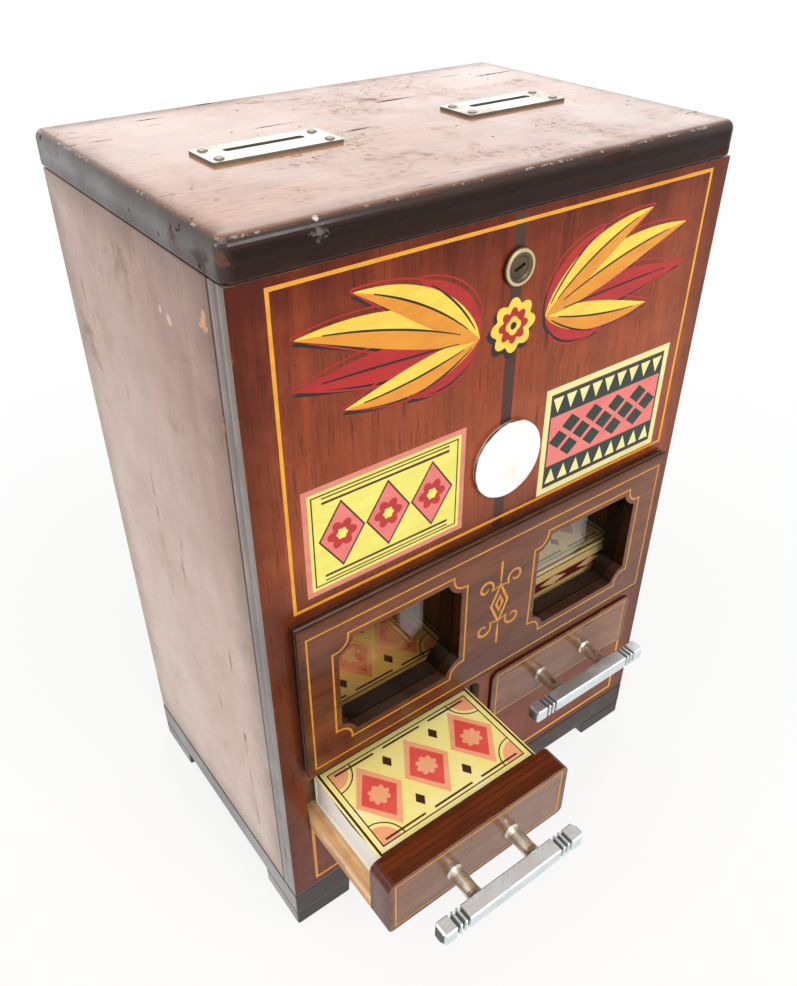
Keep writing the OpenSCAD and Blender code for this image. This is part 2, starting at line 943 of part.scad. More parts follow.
module coin_plate() {
    difference() {
        translate([coin_x, plate_y, lid_top])
            linear_extrude(plate_t)
                difference() {
                    polygon(rounded_rect(plate_w, plate_d, plate_r, plate_r));
                    translate([0, plate_set])
                        polygon(rounded_rect(slot_w, slot_d, slot_d / 2.2, slot_d / 2.2));
                }
        plate_pins_at()
            pin_hole(plate_pin_r, plate_t + 1);
    }
}

module left_coin_plate() {
    color(nickel)
        on_side(-1)
            coin_plate();
}

module right_coin_plate() {
    color(nickel)
        coin_plate();
}

module plate_pins() {
    color(steel)
        plate_pins_at()
            domed_pin(plate_pin_r, plate_t + plate_pin_l, 1.7, 0.9);
}

module keeper_screws_at() {
    for (j = [-1, 1])
        translate([keeper_x + keeper_plate_w - 3.5, keeper_leg_y + j * 3, lid_z - keeper_t])
            rotate([180, 0, 0])
                children();
}

module lid_keeper() {
    lip_z = keeper_lip_top - keeper_lip_t;
    leg_y1 = keeper_leg_y + keeper_t;
    leg_x1 = keeper_x + keeper_w;
    plate_y0 = keeper_leg_y - keeper_plate_d / 2;
    color(steel)
        difference() {
            union() {
                block([keeper_x, plate_y0, lid_z - keeper_t],
                    [keeper_x + keeper_plate_w, plate_y0 + keeper_plate_d, lid_z]);
                block([keeper_x, keeper_leg_y, lip_z], [leg_x1, leg_y1, lid_z]);
                block([keeper_x, keeper_lip_y, lip_z], [leg_x1, leg_y1, keeper_lip_top]);
            }
            keeper_screws_at()
                pin_hole(keeper_screw_r, keeper_t + 1);
        }
}

module keeper_screws() {
    color(steel)
        keeper_screws_at()
            domed_pin(keeper_screw_r, keeper_t + keeper_screw_l, 2.1, 1);
}

// Screws of the leaves below the hinge line, s = -1, or above it, s = 1
module hinge_screws_at(s) {
    for (h = [-1, 1], i = [-1, 1])
        translate([h * hinge_x + i * hinge_screw_x, back_y + leaf_t, hinge_z])
            translate([0, 0, s * (leaf_h + knuckle_r) / 2])
                rotate([-90, 0, 0])
                    children();
}

// Knuckle that carries a leaf, from x0 to x1, with the tongue that joins it to the leaf
module knuckle(x0, x1, s) {
    tongue = knuckle_r + run_gap + cut;
    translate([x0, hinge_y, hinge_z])
        rotate([0, 90, 0])
            cylinder(h = x1 - x0, r = knuckle_r);
    block([x0, back_y, hinge_z + min(0, s * tongue)], [x1, back_y + leaf_t, hinge_z + max(0, s * tongue)]);
}

// Leaf with the outer two knuckles, s = -1, or with the middle one, s = 1
module hinge_leaf(s) {
    third = hinge_l / 6;
    spans = s > 0
        ? [[-third + knuckle_gap / 2, third - knuckle_gap / 2]]
        : [[-hinge_l / 2, -third - knuckle_gap / 2], [third + knuckle_gap / 2, hinge_l / 2]];
    near = hinge_z + s * (knuckle_r + run_gap);
    far = hinge_z + s * leaf_h;
    difference() {
        union() {
            block([-hinge_l / 2, back_y, min(near, far)], [hinge_l / 2, back_y + leaf_t, max(near, far)]);
            for (span = spans)
                knuckle(span[0], span[1], s);
        }
        translate([-hinge_l / 2 - cut, hinge_y, hinge_z])
            rotate([0, 90, 0])
                cylinder(h = hinge_l + 2 * cut, r = hinge_pin_r + pin_play);
    }
}

module hinge_leaves(s) {
    difference() {
        for (h = [-1, 1])
            translate([h * hinge_x, 0, 0])
                hinge_leaf(s);
        hinge_screws_at(s)
            pin_hole(hinge_screw_r, leaf_t + 1);
    }
}

module back_hinge_leaves() {
    color(brass)
        hinge_leaves(-1);
}

module lid_hinge_leaves() {
    color(brass)
        hinge_leaves(1);
}

module back_hinge_screws() {
    color(brass)
        hinge_screws_at(-1)
            domed_pin(hinge_screw_r, leaf_t + hinge_screw_l, hinge_head_r, hinge_head_h);
}

module lid_hinge_screws() {
    color(brass)
        hinge_screws_at(1)
            domed_pin(hinge_screw_r, leaf_t + hinge_screw_l, hinge_head_r, hinge_head_h);
}

module hinge_pins() {
    color(steel)
        for (h = [-1, 1])
            translate([h * hinge_x - hinge_l / 2, hinge_y, hinge_z])
                rotate([0, 90, 0])
                    cylinder(h = hinge_l, r = hinge_pin_r);
}

// Lock, with its axis to the front at the lock's height

module at_lock(y) {
    facing(y)
        translate([0, lock_z, 0])
            children();
}

module lock_case() {
    ring_ease = 0.5;
    bore_r = barrel_r + pin_play;
    back_l = lock_case_end - front_y;
    color(nickel)
        at_lock(front_y)
            rotate_extrude()
                polygon([
                    [bore_r, -back_l],
                    [lock_body_r, -back_l],
                    [lock_body_r, 0],
                    [lock_ring_r, 0],
                    [lock_ring_r, lock_ring_t - ring_ease],
                    [lock_ring_r - ring_ease, lock_ring_t],
                    [bore_r + ring_ease, lock_ring_t],
                    [bore_r, lock_ring_t - ring_ease]
                ]);
}

module lock_nut() {
    color(brass)
        at_lock(in_front + lock_nut_t)
            difference() {
                cylinder(h = lock_nut_t, r = lock_nut_r, $fn = 6);
                translate([0, 0, -cut])
                    cylinder(h = lock_nut_t + 2 * cut, r = lock_body_r + pin_play);
            }
}

module lock_barrel() {
    face_set = 0.6;
    slot_half = 2.2;
    slot_t = 1;
    slot_deep = 9;
    barrel_l = barrel_end - front_y + lock_ring_t - face_set;
    color(brass)
        at_lock(barrel_end)
            difference() {
                cylinder(h = barrel_l, r = barrel_r);
                rotate([0, 0, key_tilt])
                    translate([-slot_half, -slot_t / 2, barrel_l - slot_deep])
                        cube([2 * slot_half, slot_t, slot_deep + cut]);
                translate([0, 0, -cut])
                    cylinder(h = cam_screw_bite + 0.2 + cut, r = cam_screw_r + screw_play);
            }
}

module lock_cam() {
    color(steel)
        at_lock(cam_y + cam_t)
            linear_extrude(cam_t)
                difference() {
                    union() {
                        circle(r = cam_hub_r);
                        translate([-cam_tip_r, 0])
                            square([2 * cam_tip_r, cam_l - cam_tip_r]);
                        translate([0, cam_l - cam_tip_r])
                            circle(r = cam_tip_r);
                    }
                    circle(r = cam_screw_r + screw_play);
                }
}

module cam_screw() {
    color(steel)
        translate([0, cam_y + cam_t, lock_z])
            rotate([-90, 0, 0])
                domed_pin(cam_screw_r, cam_t + cam_screw_bite, 2.4, 1.4);
}

// Drawers, made closed on the right-hand side

module handle_screws_at() {
    for (i = [-1, 1])
        translate([bay_x + i * post_span / 2, drawer_back, handle_z])
            rotate([-90, 0, 0])
                children();
}

module drawer_front() {
    difference() {
        facing(drawer_back)
            linear_extrude(drawer_front_t)
                drawer_outline(drawer_gap, drawer_corner);
        handle_screws_at() {
            translate([0, 0, -drawer_front_t - cut])
                cylinder(h = drawer_front_t + 2 * cut, r = handle_screw_r + screw_play);
            translate([0, 0, -handle_head_h - 0.2])
                cylinder(h = handle_head_h + 0.2 + cut, r = handle_head_r + screw_play);
        }
    }
}

module drawer_base() {
    block([drawer_x0 + base_side_gap / 2, drawer_back, drawer_z],
        [drawer_x1 - base_side_gap / 2, tail_y, board_top]);
}

// Block that takes the column's weight as the drawer comes out, with the gate's ramp and the stop
module drawer_riser() {
    ramp_end = tail_y + cut;
    x0 = drawer_x0 + base_side_gap / 2;
    x1 = drawer_x1 - base_side_gap / 2;
    difference() {
        union() {
            block([x0, riser_y, board_top], [x1, tail_y, riser_top]);
            block([x0, stop_y, riser_top - cut], [x1, tail_y, riser_top + stop_h]);
        }
        translate([coin_x - ramp_w / 2, 0, 0])
            rotate([90, 0, 90])
                linear_extrude(ramp_w)
                    polygon([
                        [ramp_start, ramp_z0 + ramp_slope * (ramp_start - ramp_y0)],
                        [ramp_end, ramp_z0 + ramp_slope * (ramp_end - ramp_y0)],
                        [ramp_end, riser_top + stop_h + cut],
                        [ramp_start, riser_top + stop_h + cut]
                    ]);
    }
}

// Square section with eased corners, half as wide as a, at a distance along the bar
function bar_ring(x, a) =
    let (ease = 0.45, b = a - ease)
    [for (p = [[-b, -a], [b, -a], [a, -b], [a, b], [b, a], [-b, a], [-a, b], [-a, -b]]) [p[0], p[1], x]];

// Half of a bar from its bevelled end inwards, as [distance from the end, half width]
function bar_stations() =
    let (a = bar_s / 2, bevel = 1.5, block_l = 6.2, pitch = 2.2, flank = 0.35)
    [
        [0, a - bevel],
        [bevel, a],
        for (k = [0 : groove_count - 1]) let (x = block_l + k * pitch) each [
            [x, a],
            [x + flank, a - groove_deep],
            [x + pitch / 2, a - groove_deep],
            [x + pitch / 2 + flank, a]
        ]
    ];

module handle_bar() {
    half = bar_stations();
    last = len(half) - 1;
    translate([bay_x - bar_l / 2, 0, 0])
        lengthwise(bar_y, handle_z)
            loft([
                for (p = half) bar_ring(p[0], p[1]),
                for (i = [0 : last]) let (p = half[last - i]) bar_ring(bar_l - p[0], p[1])
            ]);
}

module handle_posts() {
    steps = 10;
    collar = 1;
    waist_l = post_l - 2 * collar;
    tip_r = post_r - 0.4;
    difference() {
        handle_screws_at()
            translate([0, 0, -drawer_front_t - post_l])
                rotate_extrude()
                    polygon([
                        [0, 0],
                        for (i = [0 : steps])
                            let (t = 2 * i / steps - 1, end_r = t < 0 ? tip_r : post_r)
                            [post_waist + (end_r - post_waist) * pow(t, 6), collar + waist_l * i / steps],
                        [post_r, post_l],
                        [0, post_l]
                    ]);
        handle_screws_at()
            translate([0, 0, -drawer_front_t - handle_screw_bite - 0.2])
                cylinder(h = handle_screw_bite + 0.2 + cut, r = handle_screw_r + screw_play);
    }
}

module handle_screws() {
    shank = drawer_front_t - handle_head_h + handle_screw_bite;
    handle_screws_at()
        translate([0, 0, -handle_head_h]) {
            cylinder(h = handle_head_h, r = handle_head_r);
            translate([0, 0, -shank])
                cylinder(h = shank, r = handle_screw_r);
        }
}

module drawer_packet() {
    packet(drawer_back + run_gap, board_top);
}

// Puts a drawer's piece on the left side, drawn out as it stands
module left_drawn() {
    translate([0, -left_out, 0])
        on_side(-1)
            children();
}

module left_drawer_front() {
    color(dark_mahogany)
        left_drawn()
            drawer_front();
}

module left_drawer_base() {
    color(bare_ply)
        left_drawn()
            drawer_base();
}

module left_drawer_riser() {
    color(pine)
        left_drawn()
            drawer_riser();
}

module left_handle_bar() {
    color(chrome)
        left_drawn()
            handle_bar();
}

module left_handle_posts() {
    color(nickel)
        left_drawn()
            handle_posts();
}

module left_handle_screws() {
    color(steel)
        left_drawn()
            handle_screws();
}

module left_drawer_packet() {
    color(card_yellow)
        left_drawn()
            drawer_packet();
}

module right_drawer_front() {
    color(dark_mahogany)
        drawer_front();
}

module right_drawer_base() {
    color(bare_ply)
        drawer_base();
}

module right_drawer_riser() {
    color(pine)
        drawer_riser();
}

module right_handle_bar() {
    color(chrome)
        handle_bar();
}

module right_handle_posts() {
    color(nickel)
        handle_posts();
}

module right_handle_screws() {
    color(steel)
        handle_screws();
}

module right_drawer_packet() {
    color(card_green)
        drawer_packet();
}

feet();
base_board();
left_side();
right_side();
back_panel();
front_board();
window_panel();
left_glass();
right_glass();
glass_clips();
lock_case();
lock_nut();
enamel_disc();
centre_divider();
column_back();
left_column_guides();
right_column_guides();
drawer_deck();
deck_bearers();
cash_shelf();
cash_box();
left_coin_chute();
right_coin_chute();
left_gate_bracket();
right_gate_bracket();
gate_pins();
back_hinge_leaves();
back_hinge_screws();
left_stack();
right_stack();
lid();
left_coin_plate();
right_coin_plate();
plate_pins();
lid_keeper();
keeper_screws();
lid_hinge_leaves();
lid_hinge_screws();
hinge_pins();
lock_barrel();
lock_cam();
cam_screw();
left_drawer_front();
left_drawer_base();
left_drawer_riser();
left_handle_bar();
left_handle_posts();
left_handle_screws();
left_drawer_packet();
right_drawer_front();
right_drawer_base();
right_drawer_riser();
right_handle_bar();
right_handle_posts();
right_handle_screws();
right_drawer_packet();
left_coin_gate();
right_coin_gate();
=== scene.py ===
import math
import bmesh
import bpy
from functools import reduce
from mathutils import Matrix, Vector, noise


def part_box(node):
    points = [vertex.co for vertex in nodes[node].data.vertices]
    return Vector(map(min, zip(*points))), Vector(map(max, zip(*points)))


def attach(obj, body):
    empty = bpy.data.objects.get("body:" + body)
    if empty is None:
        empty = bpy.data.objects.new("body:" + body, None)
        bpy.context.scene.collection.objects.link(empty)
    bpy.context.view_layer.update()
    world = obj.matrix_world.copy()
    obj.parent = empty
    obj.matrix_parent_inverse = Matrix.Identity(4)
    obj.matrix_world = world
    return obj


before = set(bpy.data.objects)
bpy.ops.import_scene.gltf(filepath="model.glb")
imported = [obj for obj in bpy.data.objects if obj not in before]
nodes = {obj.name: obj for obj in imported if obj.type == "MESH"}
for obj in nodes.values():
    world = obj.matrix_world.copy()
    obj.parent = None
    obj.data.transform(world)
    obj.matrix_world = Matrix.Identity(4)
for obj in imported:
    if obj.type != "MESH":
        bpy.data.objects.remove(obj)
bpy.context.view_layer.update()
mm = 0.001  # sizes below are in millimetres, unless a note says metres


def boxOf(node):
    low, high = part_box(node)
    return [c / mm for c in low], [c / mm for c in high]


def middleOf(node):
    return [(a + b) / 2 * mm for a, b in zip(*boxOf(node))]


def halfOf(node):
    return [(b - a) / 2 * mm for a, b in zip(*boxOf(node))]


def metres(values):
    return [v * mm for v in values]


def both(name):
    return ["left_" + name, "right_" + name]


# Faces and edges that the paintwork is set out from
boardLow, boardHigh = boxOf("front_board")
panelLow, panelHigh = boxOf("window_panel")
frontFace = boardLow[1]
panelFace = panelLow[1]

# Small helpers for node trees, which add to the tree that was opened last. A colour is written as a hex code.
opened = {}


def tone(code):
    channels = [int(code[i:i + 2], 16) / 255 for i in (1, 3, 5)]
    return [c / 12.92 if c <= 0.04045 else ((c + 0.055) / 1.055) ** 2.4 for c in channels] + [1.0]


def feed(socket, value):
    if isinstance(value, bpy.types.NodeSocket):
        opened["tree"].links.new(value, socket)
    else:
        socket.default_value = tone(value) if isinstance(value, str) else value


def fill(node, inputs):
    for key, value in inputs.items():
        feed(node.inputs[key], value)


def addNode(kind, inputs=None, **settings):
    node = opened["tree"].nodes.new(kind)
    for key, value in settings.items():
        setattr(node, key, value)
    fill(node, inputs or {})
    return node


def calc(operation, a, b=0.0, clamp=False):
    return addNode("ShaderNodeMath", {0: a, 1: b}, operation=operation, use_clamp=clamp).outputs[0]


# Joins two or more values by one operation
def joiner(operation):
    return lambda *values: reduce(lambda a, b: calc(operation, a, b), values)


times, plus, minus, over = map(joiner, ("MULTIPLY", "ADD", "SUBTRACT", "DIVIDE"))
most, least = map(joiner, ("MAXIMUM", "MINIMUM"))


def vectorCalc(operation, a, b=(0, 0, 0), result="Vector"):
    return addNode("ShaderNodeVectorMath", {0: a, 1: b}, operation=operation).outputs[result]


def lengthOf(vector):
    return vectorCalc("LENGTH", vector, result="Value")


def dotOf(a, b):
    return vectorCalc("DOT_PRODUCT", a, b, "Value")


def split(vector):
    return addNode("ShaderNodeSeparateXYZ", {0: vector}).outputs


def span(value, low, high, toLow=0.0, toHigh=1.0):
    values = {"Value": value, "From Min": low, "From Max": high, "To Min": toLow, "To Max": toHigh}
    return addNode("ShaderNodeMapRange", values, interpolation_type="SMOOTHSTEP").outputs["Result"]


def blend(factor, a, b):
    return addNode("ShaderNodeMix", {0: factor, 6: a, 7: b}, data_type="RGBA").outputs[2]


# Clouds of noise: changes per metre, or per step of a stretched point, then detail and roughness
clouds = {
    "figure": (1.0, 4.0, 0.55), "fibre": (12.0, 3.0, 0.6), "pores": (26.0, 1.0, 0.5),
    "ragged": (90.0, 5.0, 0.65), "patchy": (36.0, 3.0, 0.6), "fading": (11.0, 5.0, 0.6),
    "mottle": (48.0, 5.0, 0.6), "scratch": (1.0, 2.0, 0.5), "patch": (13.0, 6.0, 0.62),
    "wander": (60.0, 3.0, 0.55), "tarnish": (60.0, 5.0, 0.6), "rubbing": (400.0, 2.0, 0.55),
    "streak": (1.0, 3.0, 0.6), "loss": (38.0, 4.0, 0.6), "flakes": (420.0, 3.0, 0.6),
    "paper": (900.0, 3.0, 0.6), "crease": (55.0, 5.0, 0.65), "chips": (330.0, 4.0, 0.65),
    "bare": (300.0, 4.0, 0.7), "soot": (420.0, 6.0, 0.75), "sootPatch": (26.0, 4.0, 0.6),
    "rim": (170.0, 4.0, 0.55), "enamel": (70.0, 4.0, 0.55), "dust": (30.0, 5.0, 0.6),
}


def cloud(point, name, **other):
    scale, detail, roughness = clouds[name]
    values = {"Vector": point, "Scale": scale, "Detail": detail, "Roughness": roughness, **other}
    return addNode("ShaderNodeTexNoise", values).outputs[0]


def cellsOf(point, scale):
    return addNode("ShaderNodeTexVoronoi", {"Vector": point, "Scale": scale}).outputs


def objectPoint():
    return addNode("ShaderNodeTexCoord").outputs["Object"]


# Share of the surface that faces along X, Y and Z, either way
def facesOf():
    return vectorCalc("ABSOLUTE", addNode("ShaderNodeTexCoord").outputs["Normal"])


# How far a point lies inside each pair of faces of a box
def insideBox(centre, half):
    away = vectorCalc("ABSOLUTE", vectorCalc("SUBTRACT", objectPoint(), centre))
    return split(vectorCalc("SUBTRACT", half, away))


def insideOf(node):
    return insideBox(middleOf(node), halfOf(node))


# Distance from a line along Y through the middle of a node
def radiusFrom(node):
    away = vectorCalc("SUBTRACT", objectPoint(), middleOf(node))
    return lengthOf(vectorCalc("MULTIPLY", away, (1, 0, 1)))


# Turns a function into a node group of the same name, from the group's inputs to its outputs by name
def shared(**inputs):
    def build(make):
        group = opened["tree"] = bpy.data.node_groups.new(make.__name__, "ShaderNodeTree")
        for label, start in inputs.items():
            kind = "NodeSocketVector" if isinstance(start, tuple) else "NodeSocketFloat"
            group.interface.new_socket(name=label, in_out="INPUT", socket_type=kind).default_value = start
        made = make(addNode("NodeGroupInput").outputs)
        for label in made:
            group.interface.new_socket(name=label, in_out="OUTPUT", socket_type="NodeSocketFloat")
        addNode("NodeGroupOutput", made)
        return group
    return build


def placeGroup(group, **inputs):
    return addNode("ShaderNodeGroup", inputs, node_tree=group).outputs


# Wood grain: a broad figure, fine fibres and dark open pores, drawn out along the board
@shared(Stretch=(55, 55, 3), Swirl=0.4)
def grainFigure(given):
    drawn = vectorCalc("MULTIPLY", objectPoint(), given["Stretch"])
    return {
        "Figure": span(cloud(drawn, "figure", Distortion=given["Swirl"]), 0.3, 0.7),
        "Fibre": span(cloud(drawn, "fibre"), 0.34, 0.66),
        "Pores": span(cloud(drawn, "pores"), 0.6, 0.72)}


# Wear on the edges of a board: near two faces of its box at once, in ragged patches, and a darker band
# along them, which is grime and painted shade
@shared(Centre=(0, 0, 0), Half=(0.1, 0.1, 0.1), Width=0.002, Ragged=0.003, Reach=0.008)
def edgeRub(given):
    point = objectPoint()
    inside = insideBox(given["Centre"], given["Half"])
    second = most(least(inside[0], inside[1]), least(most(inside[0], inside[1]), inside[2]))
    coarse = minus(cloud(point, "ragged"), 0.37)
    ragged = plus(second, times(coarse, given["Ragged"]))
    drift = plus(second, times(coarse, given["Reach"]))
    patchy = span(cloud(point, "patchy"), 0.42, 0.6)
    return {
        "Rub": times(span(over(ragged, given["Width"]), 0.0, 1.0, 1.0, 0.0), patchy),
        "GrimeAndShade": span(over(drift, given["Reach"]), 0.0, 1.0, 1.0, 0.0)}


# Paleness that grows one way across a board, with a cloudy limit: fading, and painted reflection
@shared(Along=(0, 0, 1), From=0.0, To=0.3)
def fading(given):
    point = objectPoint()
    reach = minus(given["To"], given["From"])
    drift = times(minus(cloud(point, "fading"), 0.5), reach)
    return {"Faded": span(plus(dotOf(point, given["Along"]), drift), given["From"], given["To"])}


# Polish left on each face, less where it is dirty, under painted shade and in dull patches
@shared(Faces=(1, 1, 1), Patch=0.5, Dirt=0.0)
def polish(given):
    left = times(dotOf(facesOf(), given["Faces"]), span(given["Patch"], 0.3, 0.65, 1.0, 0.72))
    return {"Coat": calc("MULTIPLY", left, calc("SUBTRACT", 1.0, given["Dirt"], True), True)}


# Handling marks: scratches that run one way, pin-head specks, dull patches, a finer mottle and their height
@shared(Stretch=(20, 200, 200), Amount=1.0)
def scuffs(given):
    point = objectPoint()
    mottle = cloud(point, "mottle", Distortion=0.35)
    drawn = vectorCalc("MULTIPLY", point, given["Stretch"])
    lines = span(cloud(drawn, "scratch", Distortion=0.15), 0.65, 0.73)
    scratch = times(lines, span(mottle, 0.46, 0.6), given["Amount"])
    cells = cellsOf(point, 190.0)
    chosen = span(split(cells["Color"])[0], 0.72, 0.8)
    speck = times(span(cells["Distance"], 0.04, 0.12, 1.0, 0.0), chosen, given["Amount"])
    return {
        "Scratch": scratch, "Speck": speck, "Patch": cloud(point, "patch"), "Mottle": mottle,
        "Height": minus(1.0, most(scratch, speck))}


# Layers of plywood on a cut edge, with the thin glue lines between them
@shared(Depth=0.0, Layer=0.0016)
def plyLayers(given):
    wander = times(minus(cloud(objectPoint(), "wander"), 0.5), 0.5)
    steps = plus(over(given["Depth"], given["Layer"]), wander)
    middle = calc("ABSOLUTE", minus(calc("FRACT", steps), 0.5))
    band = addNode("ShaderNodeTexWhiteNoise", {"W": calc("FLOOR", steps)}, noise_dimensions="1D")
    return {"Band": band.outputs["Value"], "Glue": span(middle, 0.34, 0.48)}


# Old plated metal: dull tarnish clouds, pits through the plating and faint rubbing marks
@shared(Scale=60.0, Stretch=(1, 1, 1))
def agedMetal(given):
    point = objectPoint()
    cells = cellsOf(point, times(given["Scale"], 14.0))
    chosen = span(split(cells["Color"])[1], 0.5, 0.7)
    holes = span(cells["Distance"], 0.12, 0.3, 1.0, 0.0)
    patch = cloud(point, "tarnish", Scale=given["Scale"])
    return {
        "Tarnish": span(patch, 0.42, 0.7), "Pits": times(holes, chosen, span(patch, 0.4, 0.62)),
        "Rubbing": cloud(vectorCalc("MULTIPLY", point, given["Stretch"]), "rubbing")}


# Brushed-on signwriter's paint: streaks, and chips that show the wood
@shared(Stretch=(60, 60, 200), Loss=0.5)
def paintCoat(given):
    point = objectPoint()
    streak = cloud(vectorCalc("MULTIPLY", point, given["Stretch"]), "streak")
    limit = minus(1.05, times(given["Loss"], cloud(point, "loss")))
    gone = span(minus(cloud(point, "flakes"), limit), -0.03, 0.03)
    return {"Streak": span(streak, 0.3, 0.7), "Gone": gone, "Height": times(streak, minus(1.0, gone))}


# Printed card: paper fibres, rubbed ink and soft creases
@shared(Rubbing=0.5)
def cardStock(given):
    point = objectPoint()
    fibre = cloud(point, "paper")
    patch = cloud(point, "crease")
    limit = minus(0.85, times(given["Rubbing"], 0.3))
    return {
        "Fibre": fibre, "Rubbed": span(minus(patch, limit), -0.12, 0.1),
        "Height": plus(times(fibre, 0.3), patch)}


print("node groups built:", len(bpy.data.node_groups))


# Materials

def openTree(owner):
    owner.use_nodes = True
    opened["tree"] = owner.node_tree
    owner.node_tree.nodes.clear()


def newMaterial(name):
    material = bpy.data.materials.new(name)
    openTree(material)
    shader = addNode("ShaderNodeBsdfPrincipled")
    addNode("ShaderNodeOutputMaterial", {0: shader.outputs[0]})
    return material, shader


def bumpOn(shader, height, depth, strength=0.6):
    bump = addNode("ShaderNodeBump", {"Height": height, "Distance": depth * mm, "Strength": strength})
    feed(shader.inputs["Normal"], bump.outputs[0])


def rubOn(node, width, ragged, reach=8.0):
    return placeGroup(edgeRub, Centre=middleOf(node), Half=halfOf(node), Width=width * mm, Ragged=ragged * mm,
                      Reach=reach * mm)


def grainOn(look):
    return placeGroup(grainFigure, Stretch=look["grain"], Swirl=look["swirl"])


def marksOn(stretch, amount):
    return placeGroup(scuffs, Stretch=stretch, Amount=amount)


def coatOn(look, patch, dirt):
    return placeGroup(polish, Faces=look["polish"], Patch=patch, Dirt=dirt)["Coat"]


# Colour of the layers on a cut edge, and the glue between them
def layersOn(look):
    depth = split(objectPoint())[look["across"]]
    ply = placeGroup(plyLayers, Depth=depth, Layer=look["layer"] * mm)
    return blend(ply["Band"], look["edge"], look["edgeLight"]), ply["Glue"]


def dress(names, material):
    for node in names:
        mesh = nodes[node].data
        mesh.materials.clear()
        mesh.materials.append(material)


# Varnished boards. "grain" is how often the grain changes per metre along X, Y and Z, "across" is the axis
# through the board, so the other faces are its cut edges, and "polish" is the gloss left on the faces along
# X, Y and Z. A board turns paler along a given direction, between two distances in metres, which is fading
# and painted reflection, and "spots" are worn bare.
# The pale grey of the front board's cut edges is painted reflection over its layers.
frontBoardLook = dict(
    dark="#601b07", light="#913a14", line="#2d0e07", bloom="#b25a32", mottled=0.2, faded=0.6,
    fadeAlong=(0.1, 0.0, -1.0), fadeRange=(-0.285, -0.195), grain=(62, 62, 3.4), swirl=0.5, fibre=0.2,
    pores=0.45, across=1, turn=(0.35, 0.7), edge="#40342f", edgeLight="#c2b2a6", layer=1.5, rub="#8a4418",
    rubWidth=0.5, rubRagged=5.0, grime=0.46, reach=18.0, smudge=0.25, soot=0.2, fleck="#e8c39a", flecks=0.2,
    dust=0.1, scratch=(240, 240, 18), marks=0.5, rough=(0.25, 0.4), level=0.1, polish=(1.0, 0.32, 0.3),
    coatIor=1.5, sheen=0.0, spots=[])
sideLook = dict(
    frontBoardLook, dark="#784532", light="#94604a", line="#3f2a22", bloom="#b99384", mottled=0.3,
    faded=0.45, fadeAlong=(0.0, 0.5, -1.0), fadeRange=(-0.27, -0.11), grain=(46, 46, 4.0), swirl=1.2,
    fibre=0.14, pores=0.28, across=0, edge="#4c2a1e", edgeLight="#7b5c4c", rub="#cf8a4c", rubRagged=22.0,
    grime=0.6, smudge=0.7, soot=0.35, dust=0.0, scratch=(280, 280, 20), marks=1.2, polish=(0.95, 0.3, 0.3),
    coatIor=1.6, sheen=0.72, spots=[
        ((-97.5, -50, 270.5), 4.0, "#c98a54"), ((-97.5, -26, 262), 2.2, "#c79a76"),
        ((-97.5, -21, 264), 1.8, "#c79a76")])
# The lid's pale flecks along its arrises are painted glints.
lidLook = dict(
    frontBoardLook, dark="#8a4f2e", light="#b5784e", line="#3b2118", bloom="#c68860", mottled=0.3,
    faded=0.3, fadeAlong=(0.0, 1.0, 0.0), fadeRange=(-0.06, 0.02), grain=(5.0, 52, 52), swirl=1.2,
    pores=0.4, across=2, turn=(0.7, 0.95), edge="#120b07", edgeLight="#2c1b13", layer=2.2, rub="#6d3520",
    rubWidth=1.3, rubRagged=9.0, grime=0.6, reach=10.0, smudge=0.8, soot=0.75, fleck="#cfc4b8", flecks=0.55,
    dust=0.0, scratch=(17, 250, 250), marks=2.0, polish=(0.9, 0.05, 1.0), coatIor=2.1, spots=[
        ((-70, -63.8, 292), 3.6, "#6f675e"), ((-70, -63, 295), 1.6, "#cfc8bf"),
        ((-97, -62.5, 291), 3.4, "#5a3420")])
panelLook = dict(
    frontBoardLook, dark="#4a1e0e", light="#7a4022", line="#260f08", bloom="#8f5c3c", mottled=0.12,
    faded=0.4, fadeAlong=(1.0, 0.0, 0.3), fadeRange=(-0.06, 0.16), grain=(5.0, 70, 70), fibre=0.3,
    pores=0.4, edge="#22120a", edgeLight="#55290f", layer=2.6, rub="#6a3818", rubWidth=0.6, grime=0.4,
    reach=5.0, dust=0.15, scratch=(18, 220, 220), marks=0.6, polish=(0.2, 0.4, 0.15))
drawerLook = dict(
    panelLook, dark="#56280f", light="#8a5230", bloom="#a87850", rub="#8a4c22", rubWidth=0.9, rubRagged=6.0,
    edge="#431a0a", edgeLight="#7a3714", fadeRange=(-0.3, 0.3), dust=0.0, polish=(0.5, 0.85, 0.25))
# Shared by the boards: tones, shares of each mark in the colour and roughness, and the depth of the relief
varnish = dict(
    coatRough=0.14, sheenRough=0.35, sheenTone="#ffe6d2", dustTone="#7d6c5a", glue=0.7, edgeFibre=0.4,
    rubbed=0.85, dirty=0.85, rubRough=0.2, dirtRough=0.25, thinDust=0.4, broken=2.6, pores=-0.5,
    relief=(0.12, 0.5))
# Darkening on the front board: round a node that covers it within "near", less towards the right, and towards
# the bottom below "under", with a dark painted shade in the reveals behind that node. Places in metres,
# depths in millimetres.
frontDarkening = dict(
    behind="window_panel", near=(-24.0, -2.0), ring=0.5, right=(0.05, 0.09), under=(0.085, 0.105), low=0.42,
    covered=(2.0, 4.0), heart="#1f100a")


def faceColour(look, grain, mottle):
    start, end = look["fadeRange"]
    faded = placeGroup(fading, Along=look["fadeAlong"], From=start, To=end)["Faded"]
    # paler one way, which is fading and painted reflection, and paler in patches, which is bloom in the
    # varnish
    pale = calc("ADD", times(span(mottle, 0.4, 0.65), look["mottled"]), times(faded, look["faded"]), True)
    colour = blend(pale, blend(grain["Figure"], look["dark"], look["light"]), look["bloom"])
    colour = blend(times(grain["Fibre"], look["fibre"]), colour, look["line"])
    return blend(times(grain["Pores"], look["pores"]), colour, look["line"])


